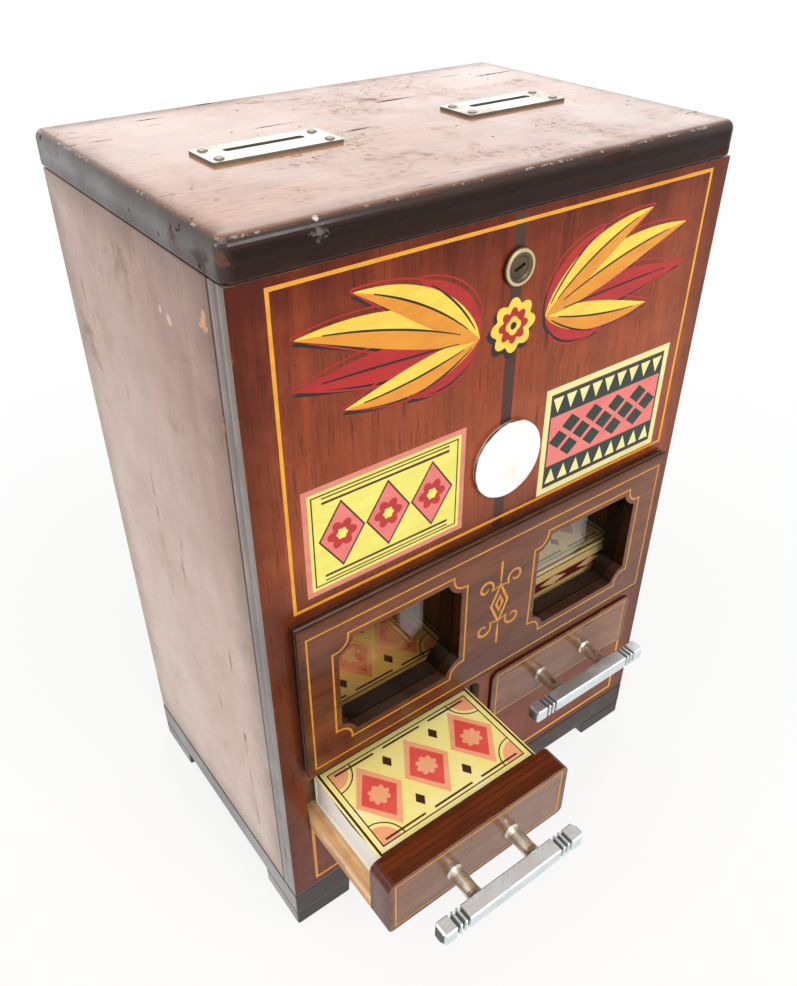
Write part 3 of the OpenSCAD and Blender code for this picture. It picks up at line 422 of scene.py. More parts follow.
def edgeColour(look, grain):
    colour, glue = layersOn(look)
    colour = blend(times(glue, varnish["glue"]), colour, look["edge"])
    return blend(times(grain["Fibre"], varnish["edgeFibre"]), colour, look["edge"])


# Colour darker round the node and lower down, with painted shade in its reveals, and where the board is
# covered
def dirtRound(colour, look, dirt):
    place = split(objectPoint())
    inside = insideOf(dirt["behind"])
    depth = least(inside[0], inside[2])
    near = span(depth, *metres(dirt["near"]), 0.0, dirt["ring"])
    near = times(near, span(place[0], *dirt["right"], 1.0, 0.0))
    near = most(near, span(place[2], *dirt["under"], dirt["low"], 0.0))
    revealShade = span(depth, *metres(dirt["covered"]))
    return blend(revealShade, blend(near, colour, look["line"]), dirt["heart"]), revealShade


def bareSpots(colour, spots):
    point = objectPoint()
    for centre, radius, bare in spots:
        away = lengthOf(vectorCalc("SUBTRACT", point, metres(centre)))
        broken = times(minus(cloud(point, "bare"), 0.5), varnish["broken"])
        near = plus(over(away, radius * mm), broken)
        colour = blend(span(near, 0.4, 0.75, 1.0, 0.0), colour, bare)
    return colour


# Scratches, specks, smudges and soot
def dirtOn(look, marks):
    point = objectPoint()
    smudge = times(span(marks["Mottle"], 0.55, 0.72), span(marks["Patch"], 0.44, 0.58), look["smudge"])
    soot = times(span(cloud(point, "soot"), 0.5, 0.66), look["soot"],
                 span(cloud(point, "sootPatch"), 0.47, 0.62))
    return most(marks["Scratch"], marks["Speck"], smudge, soot)


def boardFinish(node, look, gathered=None):
    material, shader = newMaterial("varnish." + node)
    grain = grainOn(look)
    marks = marksOn(look["scratch"], look["marks"])
    worn = rubOn(node, look["rubWidth"], look["rubRagged"], look["reach"])
    facing = split(facesOf())
    cutEdge = span(facing[look["across"]], *look["turn"], 1.0, 0.0)
    colour = blend(cutEdge, faceColour(look, grain, marks["Mottle"]), edgeColour(look, grain))
    # darkening along the edges, which is grime and painted shade, then rubbed wood, then pale flecks: chips
    # and painted glints
    grime = times(worn["GrimeAndShade"], look["grime"])
    colour = blend(grime, colour, look["line"])
    colour = blend(times(worn["Rub"], varnish["rubbed"]), colour, look["rub"])
    arris = times(cutEdge, minus(1.0, cutEdge), 4.0)  # 1 where a face turns into an edge
    # pale flecks on rubbed edges and arrises: chips, and painted glints
    chipsAndGlints = span(cloud(objectPoint(), "chips"), 0.57, 0.63)
    colour = blend(times(most(worn["Rub"], arris), chipsAndGlints, look["flecks"]), colour, look["fleck"])
    revealShade = 0.0
    # darker round a node, with painted shade in the reveals behind it
    if gathered:
        colour, revealShade = dirtRound(colour, look, gathered)
    colour = bareSpots(colour, look["spots"])
    # dust on what faces up, then the marks of use
    settled = span(marks["Mottle"], 0.4, 0.6, look["dust"] * varnish["thinDust"], look["dust"])
    colour = blend(times(span(facing[2], 0.6, 0.9), settled), colour, varnish["dustTone"])
    dirt = dirtOn(look, marks)
    colour = blend(calc("MULTIPLY", dirt, varnish["dirty"], True), colour, look["line"])
    dull = plus(span(marks["Patch"], 0.35, 0.65, *look["rough"]), times(worn["Rub"], varnish["rubRough"]))
    fill(shader, {
        "Base Color": colour, "Roughness": calc("ADD", dull, times(dirt, varnish["dirtRough"]), True),
        "Coat Weight": coatOn(look, marks["Patch"], most(dirt, grime, revealShade)),
        "Specular IOR Level": look["level"],
        "Coat IOR": look["coatIor"], "Coat Roughness": varnish["coatRough"],
        "Sheen Weight": look["sheen"], "Sheen Roughness": varnish["sheenRough"],
        "Sheen Tint": varnish["sheenTone"]})
    bumpOn(shader, plus(times(grain["Pores"], varnish["pores"]), marks["Height"]), *varnish["relief"])
    return material


dress(["front_board"], boardFinish("front_board", frontBoardLook, frontDarkening))
for node, look in {
        "left_side": sideLook, "right_side": sideLook, "lid": lidLook, "window_panel": panelLook,
        "left_drawer_front": drawerLook, "right_drawer_front": drawerLook}.items():
    dress([node], boardFinish(node, look))


# Black plinth paint, rubbed brown on its edges
plinthLook = dict(
    paint="#2a1e15", worn="#6a4c34", dust="#54422f", rubWidth=1.0, rubRagged=5.0, scratch=(22, 22, 260),
    marks=0.8, polish=(0.9, 0.35, 0.4), level=0.15, coatRough=0.12, dusty=0.5, rough=(0.3, 0.5))


def plinthFinish(node, look):
    material, shader = newMaterial("plinthPaint." + node)
    marks = marksOn(look["scratch"], look["marks"])
    worn = rubOn(node, look["rubWidth"], look["rubRagged"])
    rubbed = most(worn["Rub"], marks["Speck"])
    dusty = blend(span(marks["Mottle"], 0.45, 0.7, 0.0, look["dusty"]), look["paint"], look["dust"])
    fill(shader, {
        "Base Color": blend(rubbed, dusty, look["worn"]),
        "Roughness": span(marks["Patch"], 0.3, 0.7, *look["rough"]),
        "Coat Weight": coatOn(look, marks["Patch"], rubbed), "Specular IOR Level": look["level"],
        "Coat Roughness": look["coatRough"]})
    bumpOn(shader, marks["Height"], depth=0.1)
    return material


for node in ("base_board", "feet"):
    dress([node], plinthFinish(node, plinthLook))


# Bare wood: plywood drawer bases and the planed softwood inside
plyLook = dict(
    dark="#c98a4c", light="#f3d3a4", edge="#cf9555", edgeLight="#fbe6c2", stain="#8e3f17", layer=1.5,
    grain=(60, 3.2, 60), across=2, swirl=0.6, marks=0.5, fine=0.45, streaks=0.45, rough=(0.5, 0.7))
uprightLook = dict(
    plyLook, dark="#74502c", light="#a87d4c", edge="#5f4024", edgeLight="#8e673c", stain="#4c3018",
    layer=9.0, grain=(50, 50, 3), across=1)
levelLook = dict(uprightLook, grain=(3, 50, 50), across=2)


def bareWood(name, look):
    material, shader = newMaterial(name)
    grain = grainOn(look)
    marks = marksOn(look["grain"], look["marks"])
    edge, glue = layersOn(look)
    cutEdge = span(split(facesOf())[look["across"]], 0.35, 0.7, 1.0, 0.0)
    colour = blend(cutEdge, blend(grain["Figure"], look["dark"], look["light"]), edge)
    colour = blend(times(most(grain["Fibre"], glue), look["fine"]), colour, look["dark"])
    streaky = times(span(marks["Mottle"], 0.46, 0.66), span(grain["Figure"], 0.25, 0.6), look["streaks"])
    fill(shader, {
        "Base Color": blend(most(streaky, marks["Speck"]), colour, look["stain"]),
        "Roughness": span(grain["Fibre"], 0.0, 1.0, *look["rough"])})
    bumpOn(shader, minus(marks["Height"], grain["Pores"]), depth=0.12)
    return material


dress(both("drawer_base"), bareWood("bareply", plyLook))
dress(["back_panel", "column_back", "centre_divider", *both("column_guides")],
      bareWood("insidePine.upright", uprightLook))
dress(["drawer_deck", "deck_bearers", "cash_shelf", *both("drawer_riser")],
      bareWood("insidePine.level", levelLook))


# Metals. "plate" is the bright colour and "stain" what shows through it. Soil lies in the grooves of a bar;
# the faces of a plate or pin that don't look up get painted shade with some soil. The lock's face is dark
# bronze with a bright rim.
metalLooks = {
    "wornChrome": dict(
        plate="#dfe7e9", stain="#9a948a", pit="#40352b", scale=70, rough=(0.34, 0.5), stretch=(1, 8, 8),
        stained=0.2, soil="#332e28", groove=(0.4, 0.9)),
    "brightNickel": dict(
        plate="#d6cfc2", stain="#6d604f", pit="#3a2e22", scale=55, rough=(0.16, 0.36), stretch=(1, 6, 6),
        stained=0.4, soil="#4a4238", clean=(0.55, 0.75)),
    "pinHead": dict(
        plate="#d2cabc", stain="#75695a", pit="#2f261e", scale=60, rough=(0.25, 0.45), stretch=(1, 1, 1),
        stained=0.4, soil="#56483a", clean=(0.66, 0.84)),
    "lockBronze": dict(
        plate="#6b5d49", stain="#4a3f30", pit="#241c14", scale=120, rough=(0.28, 0.46), stretch=(1, 1, 1),
        stained=0.7, rim=(4.7, 5.7), rimSoft=0.3, bright="#d8c193"),
    "dullNickel": dict(
        plate="#d6cfbf", stain="#8a7c66", pit="#33281c", scale=110, rough=(0.2, 0.42), stretch=(6, 1, 6),
        stained=0.5),
    "plainSteel": dict(
        plate="#9a9c9e", stain="#5d564e", pit="#3c2f26", scale=60, rough=(0.3, 0.5), stretch=(1, 1, 6),
        stained=0.5),
    "oldBrass": dict(
        plate="#a98a4d", stain="#5a4526", pit="#2f2416", scale=80, rough=(0.26, 0.5), stretch=(6, 1, 1),
        stained=0.65),
}
metalWear = dict(pitted=0.85, soiledBar=0.9, soiledFace=0.85, metalLeft=0.35, rough=0.3, ripple=0.15)


def metalFinish(name, look, barred=None, around=None):
    material, shader = newMaterial(name)
    aged = placeGroup(agedMetal, Scale=look["scale"], Stretch=look["stretch"])
    worn = aged["Pits"]
    colour = blend(times(aged["Tarnish"], look["stained"]), look["plate"], look["stain"])
    colour = blend(times(worn, metalWear["pitted"]), colour, look["pit"])
    if around:
        radius = radiusFrom(around)
        inner, outer = [metres((r, r + look["rimSoft"])) for r in look["rim"]]
        colour = blend(times(span(radius, *inner), span(radius, *outer, 1.0, 0.0)), colour, look["bright"])
    if "soil" in look:
        if barred:
            inside = insideOf(barred)
            soiledAndShaded = span(least(inside[1], inside[2]), *metres(look["groove"]), 0.0, metalWear["soiledBar"])
        else:
            # painted shade on the faces of plates and pins that don't look up, with some soil
            soiledAndShaded = span(split(facesOf())[2], *look["clean"], metalWear["soiledFace"], 0.0)
        colour = blend(soiledAndShaded, colour, look["soil"])
        worn = most(worn, soiledAndShaded)
    smear = span(plus(aged["Tarnish"], aged["Rubbing"]), 0.3, 1.4, *look["rough"])
    fill(shader, {
        "Base Color": colour, "Metallic": span(worn, 0.0, 1.0, 1.0, metalWear["metalLeft"]),
        "Roughness": calc("ADD", smear, times(worn, metalWear["rough"]), True)})
    bumpOn(shader, minus(times(aged["Rubbing"], metalWear["ripple"]), aged["Pits"]), depth=0.06)
    return material


for name, members in {
        "pinHead": ["plate_pins"], "brightNickel": both("coin_plate"), "dullNickel": both("handle_posts"),
        "lockBronze": ["lock_barrel"],
        "plainSteel": ["glass_clips", "cash_box", "gate_pins", "lid_keeper", "keeper_screws", "hinge_pins",
                       "lock_cam", "cam_screw",
                       *both("coin_chute"), *both("gate_bracket"), *both("handle_screws")],
        "oldBrass": ["lock_nut", "back_hinge_leaves", "back_hinge_screws",
                     "lid_hinge_leaves", "lid_hinge_screws", *both("coin_gate")]}.items():
    dress(members, metalFinish(name, metalLooks[name]))
for node in both("handle_bar"):
    dress([node], metalFinish("wornChrome." + node, metalLooks["wornChrome"], barred=node))
dress(["lock_case"], metalFinish("lockBronze.case", metalLooks["lockBronze"], around="lock_barrel"))


# White enamel disc, chipped round its rim to the rusty iron
discLook = dict(enamel="#fbfaf7", shade="#ece8df", iron="#4f2417", rim=14.85, ragged=0.9, rough=(0.12, 0.7))


def enamelFinish(look):
    material, shader = newMaterial("whiteEnamel")
    point = objectPoint()
    uneven = times(minus(cloud(point, "rim"), 0.5), look["ragged"] * mm)
    chip = span(over(plus(radiusFrom("enamel_disc"), uneven), look["rim"] * mm), 1.0, 1.03)
    colour = blend(span(cloud(point, "enamel"), 0.45, 0.75), look["enamel"], look["shade"])
    fill(shader, {
        "Base Color": blend(chip, colour, look["iron"]), "Roughness": span(chip, 0.0, 1.0, *look["rough"])})
    bumpOn(shader, minus(1.0, chip), depth=0.25)
    return material


dress(["enamel_disc"], enamelFinish(discLook))


# Old window glass with a thin film of dust, clear to the light that falls through it
glassLook = dict(tint="#fdeddb", rough=(0.0, 0.05), ior=1.5)


def glassFinish(look):
    material, shader = newMaterial("windowGlass")
    surface = shader.outputs[0].links[0].to_socket
    dusty = cloud(objectPoint(), "dust")
    fill(shader, {
        "Base Color": look["tint"], "Transmission Weight": 1.0, "IOR": look["ior"],
        "Roughness": span(dusty, 0.35, 0.75, *look["rough"])})
    path = addNode("ShaderNodeLightPath").outputs
    passing = most(path["Is Shadow Ray"], path["Is Diffuse Ray"])
    clear = addNode("ShaderNodeBsdfTransparent", {"Color": look["tint"]})
    mix = addNode("ShaderNodeMixShader", {0: passing, 1: shader.outputs[0], 2: clear.outputs[0]})
    feed(surface, mix.outputs[0])
    return material


dress(both("glass"), glassFinish(glassLook))


# Packets: printed card sleeve, with the white slide at the ends and painted shade in its scoop
yellowCard = dict(
    ink="#fbe784", faded="#fef3a8", worn="#fbf3d0", slide="#f0ede4", hollow="#12100e", sleeve=(0.3, 0.4),
    scoop=(0.84, 0.9), rubWidth=0.7, rubRagged=1.6, rubbing=0.6, rough=(0.42, 0.6))
greenCard = dict(yellowCard, ink="#dfecc0", faded="#edf4d6", worn="#f0eddc", slide="#ece8dc")


def cardFinish(node, look):
    material, shader = newMaterial("card." + node)
    stock = placeGroup(cardStock, Rubbing=look["rubbing"])
    rub = rubOn(node, look["rubWidth"], look["rubRagged"])["Rub"]
    colour = blend(span(stock["Height"], 0.4, 1.0), look["ink"], look["faded"])
    colour = blend(most(rub, stock["Rubbed"]), colour, look["worn"])
    inset = insideOf(node)
    inSleeve = span(least(inset[1], inset[2]), *metres(look["sleeve"]))
    # painted shade deep in the scoop
    slide = blend(span(inset[0], *metres(look["scoop"])), look["slide"], look["hollow"])
    fill(shader, {
        "Base Color": blend(inSleeve, colour, slide),
        "Roughness": span(stock["Fibre"], 0.3, 0.7, *look["rough"])})
    bumpOn(shader, stock["Height"], depth=0.08, strength=0.4)
    return material


for side, look in (("left", yellowCard), ("right", greenCard)):
    for node in (side + "_stack", side + "_drawer_packet"):
        dress([node], cardFinish(node, look))
print("materials made:", len(bpy.data.materials))


# Eased edges on the boards and plates, by bevel width
easedEdges = {
    0.25: both("coin_plate"), 0.3: both("side"), 0.35: both("stack") + both("drawer_packet"),
    0.4: ["window_panel", "back_panel", *both("drawer_base")], 0.5: ["front_board", "base_board"],
    0.8: ["feet"], 1.7: both("drawer_front"),
}


def addModifier(node, name, kind, **settings):
    modifier = nodes[node].modifiers.new(name, kind)
    for key, value in settings.items():
        setattr(modifier, key, value)


def easeEdges(node, width):
    addModifier(node, "weld", "WELD", merge_threshold=0.002 * mm)
    addModifier(node, "flatten", "DECIMATE", decimate_type="DISSOLVE", angle_limit=math.radians(0.5))
    addModifier(node, "ease", "BEVEL", limit_method="ANGLE", angle_limit=math.radians(35), width=width * mm,
                segments=3)


for width, members in easedEdges.items():
    for node in members:
        easeEdges(node, width)
print("edges eased on", sum(map(len, easedEdges.values())), "nodes")


# Flat paint and print, set out on a face

def onFront(depth):
    return lambda u, v, h: Vector((u, depth - h, v)) * mm


def onTop(height):
    return lambda u, v, h: Vector((u, v, height + h)) * mm


def polygon(points):
    return points, [list(range(len(points)))]


# Shape filled from its middle, for outlines that dip in between their points
def rosetteShape(centre, points):
    count = len(points)
    return [centre, *points], [[0, i + 1, (i + 1) % count + 1] for i in range(count)]


def arcPoints(centre, radius, start, end, steps=10):
    angles = [math.radians(start + (end - start) * i / steps) for i in range(steps + 1)]
    return [(centre[0] + radius * math.cos(a), centre[1] + radius * math.sin(a)) for a in angles]


def rectangle(x0, z0, x1, z1):
    return [(x0, z0), (x1, z0), (x1, z1), (x0, z1)]


def lozenge(cx, cy, halfW, halfH):
    return [(cx - halfW, cy), (cx, cy - halfH), (cx + halfW, cy), (cx, cy + halfH)]


def grown(box, by):
    return box[0] - by, box[1] - by, box[2] + by, box[3] + by


def shifted(points, offset):
    return [(x + offset[0], y + offset[1]) for x, y in points]


def mirrored(points):
    return [(-x, y) for x, y in reversed(points)]


def petals(centre, radius, count, depth, steps=72):
    run = []
    for i in range(steps):
        a = 2 * math.pi * i / steps
        r = radius * (1 - depth + depth * abs(math.cos(count * a / 2)))
        run.append((centre[0] + r * math.cos(a), centre[1] + r * math.sin(a)))
    return run


def flower(centre, radius, count, depth):
    return rosetteShape(centre, petals(centre, radius, count, depth))


# Breaks long straight runs so that a painted line can waver
def walk(points, closed, step=5.0):
    run = []
    ends = points[1:] + points[:1] if closed else points[1:]
    for a, b in zip(points, ends):
        count = max(1, int(math.dist(a, b) / step))
        run += [(a[0] + (b[0] - a[0]) * i / count, a[1] + (b[1] - a[1]) * i / count) for i in range(count)]
    return run if closed else run + [points[-1]]


def stroke(points, width, closed=False, waver=0.16, taper=False, ripple=0.13):
    path = [Vector(p) for p in walk(points, closed)]
    count = len(path)
    sides = []
    for i, p in enumerate(path):
        before = p - path[i - 1] if closed or i else path[1] - p
        after = path[(i + 1) % count] - p if closed or i < count - 1 else before
        normals = [Vector((-d.y, d.x)).normalized() for d in (before, after)]
        middle = (normals[0] + normals[1]).normalized()
        half = width / 2 * (1 + waver * noise.noise(Vector((p.x * ripple, p.y * ripple, width))))
        if taper:
            half *= max(0.15, math.sin(math.pi * (0.12 + 0.88 * i / count)) ** 0.6)  # blunt start, thin end
        reach = half / max(0.6, middle.dot(normals[0]))
        sides += [tuple(p + middle * reach), tuple(p - middle * reach)]
    last = count if closed else count - 1
    faces = [[2 * i, 2 * i + 1, 2 * ((i + 1) % count) + 1, 2 * ((i + 1) % count)] for i in range(last)]
    return sides, faces


# Printed rule, steadier than a painted line
def ruled(points, width):
    return stroke(points, width, True, 0.05)


# Paints: colour, its shaded tone, and the share that has flaked off to the wood below
paintLooks = {
    "goldLine": ("#f0a92c", "#d9841a", 0.55), "panelGold": ("#d8922c", "#b0681a", 0.6),
    "signYellow": ("#f6da55", "#eab038", 0.45), "signRed": ("#b8211f", "#8c1614", 0.48),
    "signBlack": ("#17110f", "#2a1b15", 0.45), "signOrange": ("#e79a2c", "#d27c18", 0.45),
    "labelYellow": ("#f0e876", "#e8d558", 0.4), "labelPink": ("#ea8078", "#dc625e", 0.45),
    "labelBorder": ("#e08d78", "#d0735f", 0.45), "labelRed": ("#c02f2c", "#9d2020", 0.45),
    "labelCream": ("#f2eaa8", "#e6d688", 0.4), "labelGreen": ("#1f2f22", "#16211a", 0.45),
    "labelBrown": ("#4c2a17", "#38200f", 0.45), "inlayDark": ("#4a2416", "#3a1a10", 0.3),
    "packetRed": ("#ea5a50", "#d5433c", 0.45), "packetPink": ("#f9b184", "#f09c6a", 0.45),
    "packetWine": ("#6f1620", "#4d0e16", 0.45), "packetGreen": ("#35593a", "#27452c", 0.45),
    "packetCream": ("#f4efdc", "#e7dfc4", 0.35),
}
paintBase = dict(under="#6a2a16", stretch=(70, 70, 240), rough=(0.3, 0.42), level=0.4)


def paintFinish(name, main, shade, loss):
    material, shader = newMaterial(name)
    coat = placeGroup(paintCoat, Stretch=paintBase["stretch"], Loss=loss)
    colour = blend(0.5, blend(coat["Streak"], shade, main), main)
    fill(shader, {
        "Base Color": blend(coat["Gone"], colour, paintBase["under"]),
        "Roughness": span(coat["Streak"], 0.0, 1.0, *paintBase["rough"]),
        "Specular IOR Level": paintBase["level"]})
    bumpOn(shader, coat["Height"], depth=0.05, strength=0.5)
    return material


paints = {name: paintFinish(name, *look) for name, look in paintLooks.items()}


def newObject(name, mesh, material):
    data = bpy.data.meshes.new(name)
    mesh.to_mesh(data)
    mesh.free()
    data.materials.append(material)
    piece = bpy.data.objects.new(name, data)
    bpy.context.scene.collection.objects.link(piece)
    return piece


# Thin film of paint. Shapes that overlap are stepped a little, and its back is sunk into the face.
def film(name, shapes, paint, lift, spot=onFront(frontFace), body="cabinet", slotName="varnished_wood"):
    sink, step, stepCount = 0.05, 0.002, 5
    mesh = bmesh.new()
    for number, (points, faces) in enumerate(shapes):
        height = lift + step * (number % stepCount)
        top = [mesh.verts.new(spot(u, v, height)) for u, v in points]
        under = [mesh.verts.new(spot(u, v, -sink)) for u, v in points]
        used = {pair for face in faces for pair in zip(face, face[1:] + face[:1])}
        for face in faces:
            mesh.faces.new([top[i] for i in face])
            mesh.faces.new([under[i] for i in reversed(face)])
        for a, b in used:
            if (b, a) not in used:
                mesh.faces.new([top[b], top[a], under[a], under[b]])
    bmesh.ops.triangulate(mesh, faces=[f for f in mesh.faces if len(f.verts) > 4])
    bmesh.ops.recalc_face_normals(mesh, faces=mesh.faces)
    piece = newObject(name, mesh, paints[paint])
    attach(piece, body)


# One film over another, each a list of shapes in one paint
def layFilms(name, layers, lift, rise=0.015, **place):
    for number, (paint, shapes) in enumerate(layers):
        film(name + "." + str(number), shapes, paint, lift + rise * number, **place)


# Gold lines round the front board, the window panel and the drawers, as boxes of X and Z on their faces
lineLook = dict(
    width=1.2, upper=(-86.0, 171.5, 88.6, 280.8), lower=(-86.9, 25.1, 87.5), panelWidth=0.72, panelSide=3.4,
    panelLow=2.6, panelHigh=5.0, drawerSide=3.0, drawerUp=2.2, drawerWidth=0.72, lift=0.05)
windowLine = dict(x=46.5, up=35.5, width=59.2, height=52.0, notch=6.6, step=1.2, line=0.78)
onPanel = dict(spot=onFront(panelFace), slotName="dark_panel_wood")


# Rectangle whose corners are stepped and hollowed, for the line round a window
def notchedLine(cx, cz, look):
    w, h, n, s = look["width"] / 2, look["height"] / 2, look["notch"], look["step"]
    run = []
    for sx, sz, start in ((-1, -1, 90), (1, -1, 180), (1, 1, 270), (-1, 1, 0)):
        corner = (cx + sx * w, cz + sz * h)
        middle = (corner[0] - sx * s, corner[1] - sz * s)
        ends = [(corner[0], corner[1] - sz * n), (corner[0] - sx * n, corner[1])]
        curve = arcPoints(middle, n - s, start, start - 90, 6)
        run += [ends[0], *curve, ends[1]] if sx * sz > 0 else [ends[1], *curve, ends[0]]
    return run


def paintLines(look):
    drawerFoot = boxOf("right_drawer_front")[0][2]
    left, foot, right = look["lower"]
    lower = [(left, drawerFoot), (left, foot), (right, foot), (right, drawerFoot)]
    film("goldLine.front",
         [stroke(rectangle(*look["upper"]), look["width"], True), stroke(lower, look["width"])],
         "goldLine", look["lift"])
    border = rectangle(panelLow[0] + look["panelSide"], panelLow[2] + look["panelLow"],
                       panelHigh[0] - look["panelSide"], panelHigh[2] - look["panelHigh"])
    strokes = [stroke(border, look["panelWidth"], True)]
    for side in (-1, 1):
        window = notchedLine(side * windowLine["x"], panelLow[2] + windowLine["up"], windowLine)
        strokes.append(stroke(window, windowLine["line"], True))
    film("goldLine.panel", strokes, "panelGold", look["lift"], **onPanel)
    for side in ("left", "right"):
        low, high = boxOf(side + "_drawer_front")
        border = rectangle(low[0] + look["drawerSide"], low[2] + look["drawerUp"],
                           high[0] - look["drawerSide"], high[2] - look["drawerUp"])
        film("goldLine." + side + "Drawer", [stroke(border, look["drawerWidth"], True)], "panelGold",
             look["lift"], onFront(low[1]), side + "_drawer", "dark_panel_wood")


paintLines(lineLook)

# Dark strip let into the board below and above the lock
inlayLook = dict(width=4.8, top=0.5, lift=0.02)
inlayHalf = inlayLook["width"] / 2
inlay = rectangle(-inlayHalf, panelHigh[2], inlayHalf, boardHigh[2] - inlayLook["top"])
film("inlayStrip", [polygon(inlay)], "inlayDark", inlayLook["lift"])
print("lines painted")


# Painted spray of leaves on each side of the lock, with a rosette under it. A leaf has its tip, width, bend
# and paint; a ring of the rosette its paint, share of the radius, petals and how deep they are cut.
sprayLook = dict(
    root=(14.0, 247.0), shadow=(-0.9, -1.2), fringe=3.4, fringeTip=(1.015, 1.003), fringeLine=0.6, vein=0.7,
    lift=0.04,
    leaves=[
        ((37, 271.5), 9.5, 5.0, "signRed"), ((60, 273.5), 11.0, 7.0, "signYellow"),
        ((79, 265), 12.0, 6.0, "signYellow"), ((80, 250), 11.0, 1.0, "signRed"),
        ((64, 239), 10.0, -4.0, "signYellow"), ((41, 235), 8.5, -4.0, "signRed")],
    rosette=((0.0, 247.5), 9.5), rosetteRim=0.6, rosetteLift=0.13,
    rings=[("signYellow", 1.0, 8, 0.24), ("signRed", 0.66, 8, 0.3), ("signYellow", 0.34, 4, 0.2),
           ("signBlack", 0.14, 3, 0.1)])


def leafParts(root, tip, width, bend, steps=16):
    a, b = Vector(root), Vector(tip)
    across = Vector((-(b - a).y, (b - a).x)).normalized()
    middle = (a + b) / 2 + across * bend
    spine, upper, lower = [], [], []
    for i in range(steps + 1):
        t = i / steps
        p = a * (1 - t) ** 2 + middle * 2 * t * (1 - t) + b * t ** 2
        along = ((middle - a) * (1 - t) + (b - middle) * t).normalized()
        half = width / 2 * max(0.02, math.sin(math.pi * t ** 0.8)) ** 0.85
        side = Vector((-along.y, along.x)) * half
        spine.append(tuple(p))
        upper.append(tuple(p + side))
        lower.append(tuple(p - side))
    return spine, upper, lower


def paintSpray(look):
    layers = {name: [] for name in ("signBlack", "fringe", "signRed", "signYellow", "signOrange", "veins")}
    for tip, width, bend, colour in look["leaves"]:
        spine, upper, lower = leafParts(look["root"], tip, width, bend)
        whole = upper + lower[::-1]
        beyond = [a * b for a, b in zip(tip, look["fringeTip"])]
        outer = leafParts(look["root"], beyond, width + look["fringe"], bend)
        for turn in (lambda p: p, mirrored):
            layers["fringe"].append(stroke(turn(outer[1][3:] + outer[2][:2:-1]), look["fringeLine"]))
            layers["signBlack"].append(polygon(shifted(turn(whole), look["shadow"])))
            layers[colour].append(polygon(turn(whole)))
            if colour == "signYellow":
                layers["signOrange"].append(polygon(turn(spine + lower[::-1])))
            layers["veins"].append(stroke(turn(spine[2:-2]), look["vein"], taper=True))
    centre, radius = look["rosette"]
    petalCount, petalDepth = look["rings"][0][2:]
    behind = petals(centre, radius + look["rosetteRim"], petalCount, petalDepth)
    shade = rosetteShape(shifted([centre], look["shadow"])[0], shifted(behind, look["shadow"]))
    layers["signBlack"].append(shade)
    rises = {
        "signBlack": 0.0, "fringe": 0.01, "signRed": 0.02, "signYellow": 0.04, "signOrange": 0.06,
        "veins": 0.08}
    for layer, rise in rises.items():
        paint = {"fringe": "signRed", "veins": "signBlack"}.get(layer, layer)
        film("leafSpray." + layer, layers[layer], paint, look["lift"] + rise)
    rings = [(paint, [flower(centre, radius * share, count, depth)])
             for paint, share, count, depth in look["rings"]]
    layFilms("rosette", rings, look["rosetteLift"])


paintSpray(sprayLook)


# Two printed labels: lozenges on yellow on the left, chequers and bands on cream on the right
leftLabel = dict(
    box=(-81.0, 175.0, -17.4, 216.4), rim=2.0, inset=3.4, insetLine=0.5, lozenges=3, ends=10, wide=0.47,
    tall=12.5, outline=0.6, rules=[(14.2, 0.9), (16, 0.5)], ruleEnd=7, flower=(5.6, 6, 0.35),
    heart=(2.2, 6, 0.25), lift=0.04)
rightLabel = dict(
    box=(19.0, 172.5, 83.6, 217.5), inset=3.0, insetLine=0.7, band=9.0, teeth=9, toothWide=0.4, toothEnd=1.4,
    check=(4.6, 3.8), checkStep=(6.0, 5.0), checkColumns=4, lift=0.04)


def paintLeftLabel(look):
    x0, z0, x1, z1 = look["box"]
    cx, cz = (x0 + x1) / 2, (z0 + z1) / 2
    count = look["lozenges"]
    pitch = (x1 - x0 - look["ends"]) / count
    places = [(cx + pitch * (i - (count - 1) / 2), cz) for i in range(count)]
    outlines = [lozenge(*place, pitch * look["wide"], look["tall"]) for place in places]
    start, end = x0 + look["ruleEnd"], x1 - look["ruleEnd"]
    rules = [stroke([(start, cz + s * away), (end, cz + s * away)], width)
             for away, width in look["rules"] for s in (-1, 1)]
    layFilms("leftLabel", [
        ("labelBorder", [polygon(rectangle(*look["box"]))]),
        ("labelYellow", [polygon(rectangle(*grown(look["box"], -look["rim"])))]),
        ("labelBrown", [ruled(rectangle(*grown(look["box"], -look["inset"])), look["insetLine"]), *rules]),
        ("labelPink", [polygon(outline) for outline in outlines]),
        ("labelRed", [flower(place, *look["flower"]) for place in places]),
        ("labelYellow", [flower(place, *look["heart"]) for place in places]),
        ("labelBrown", [ruled(outline, look["outline"]) for outline in outlines]),
    ], look["lift"])


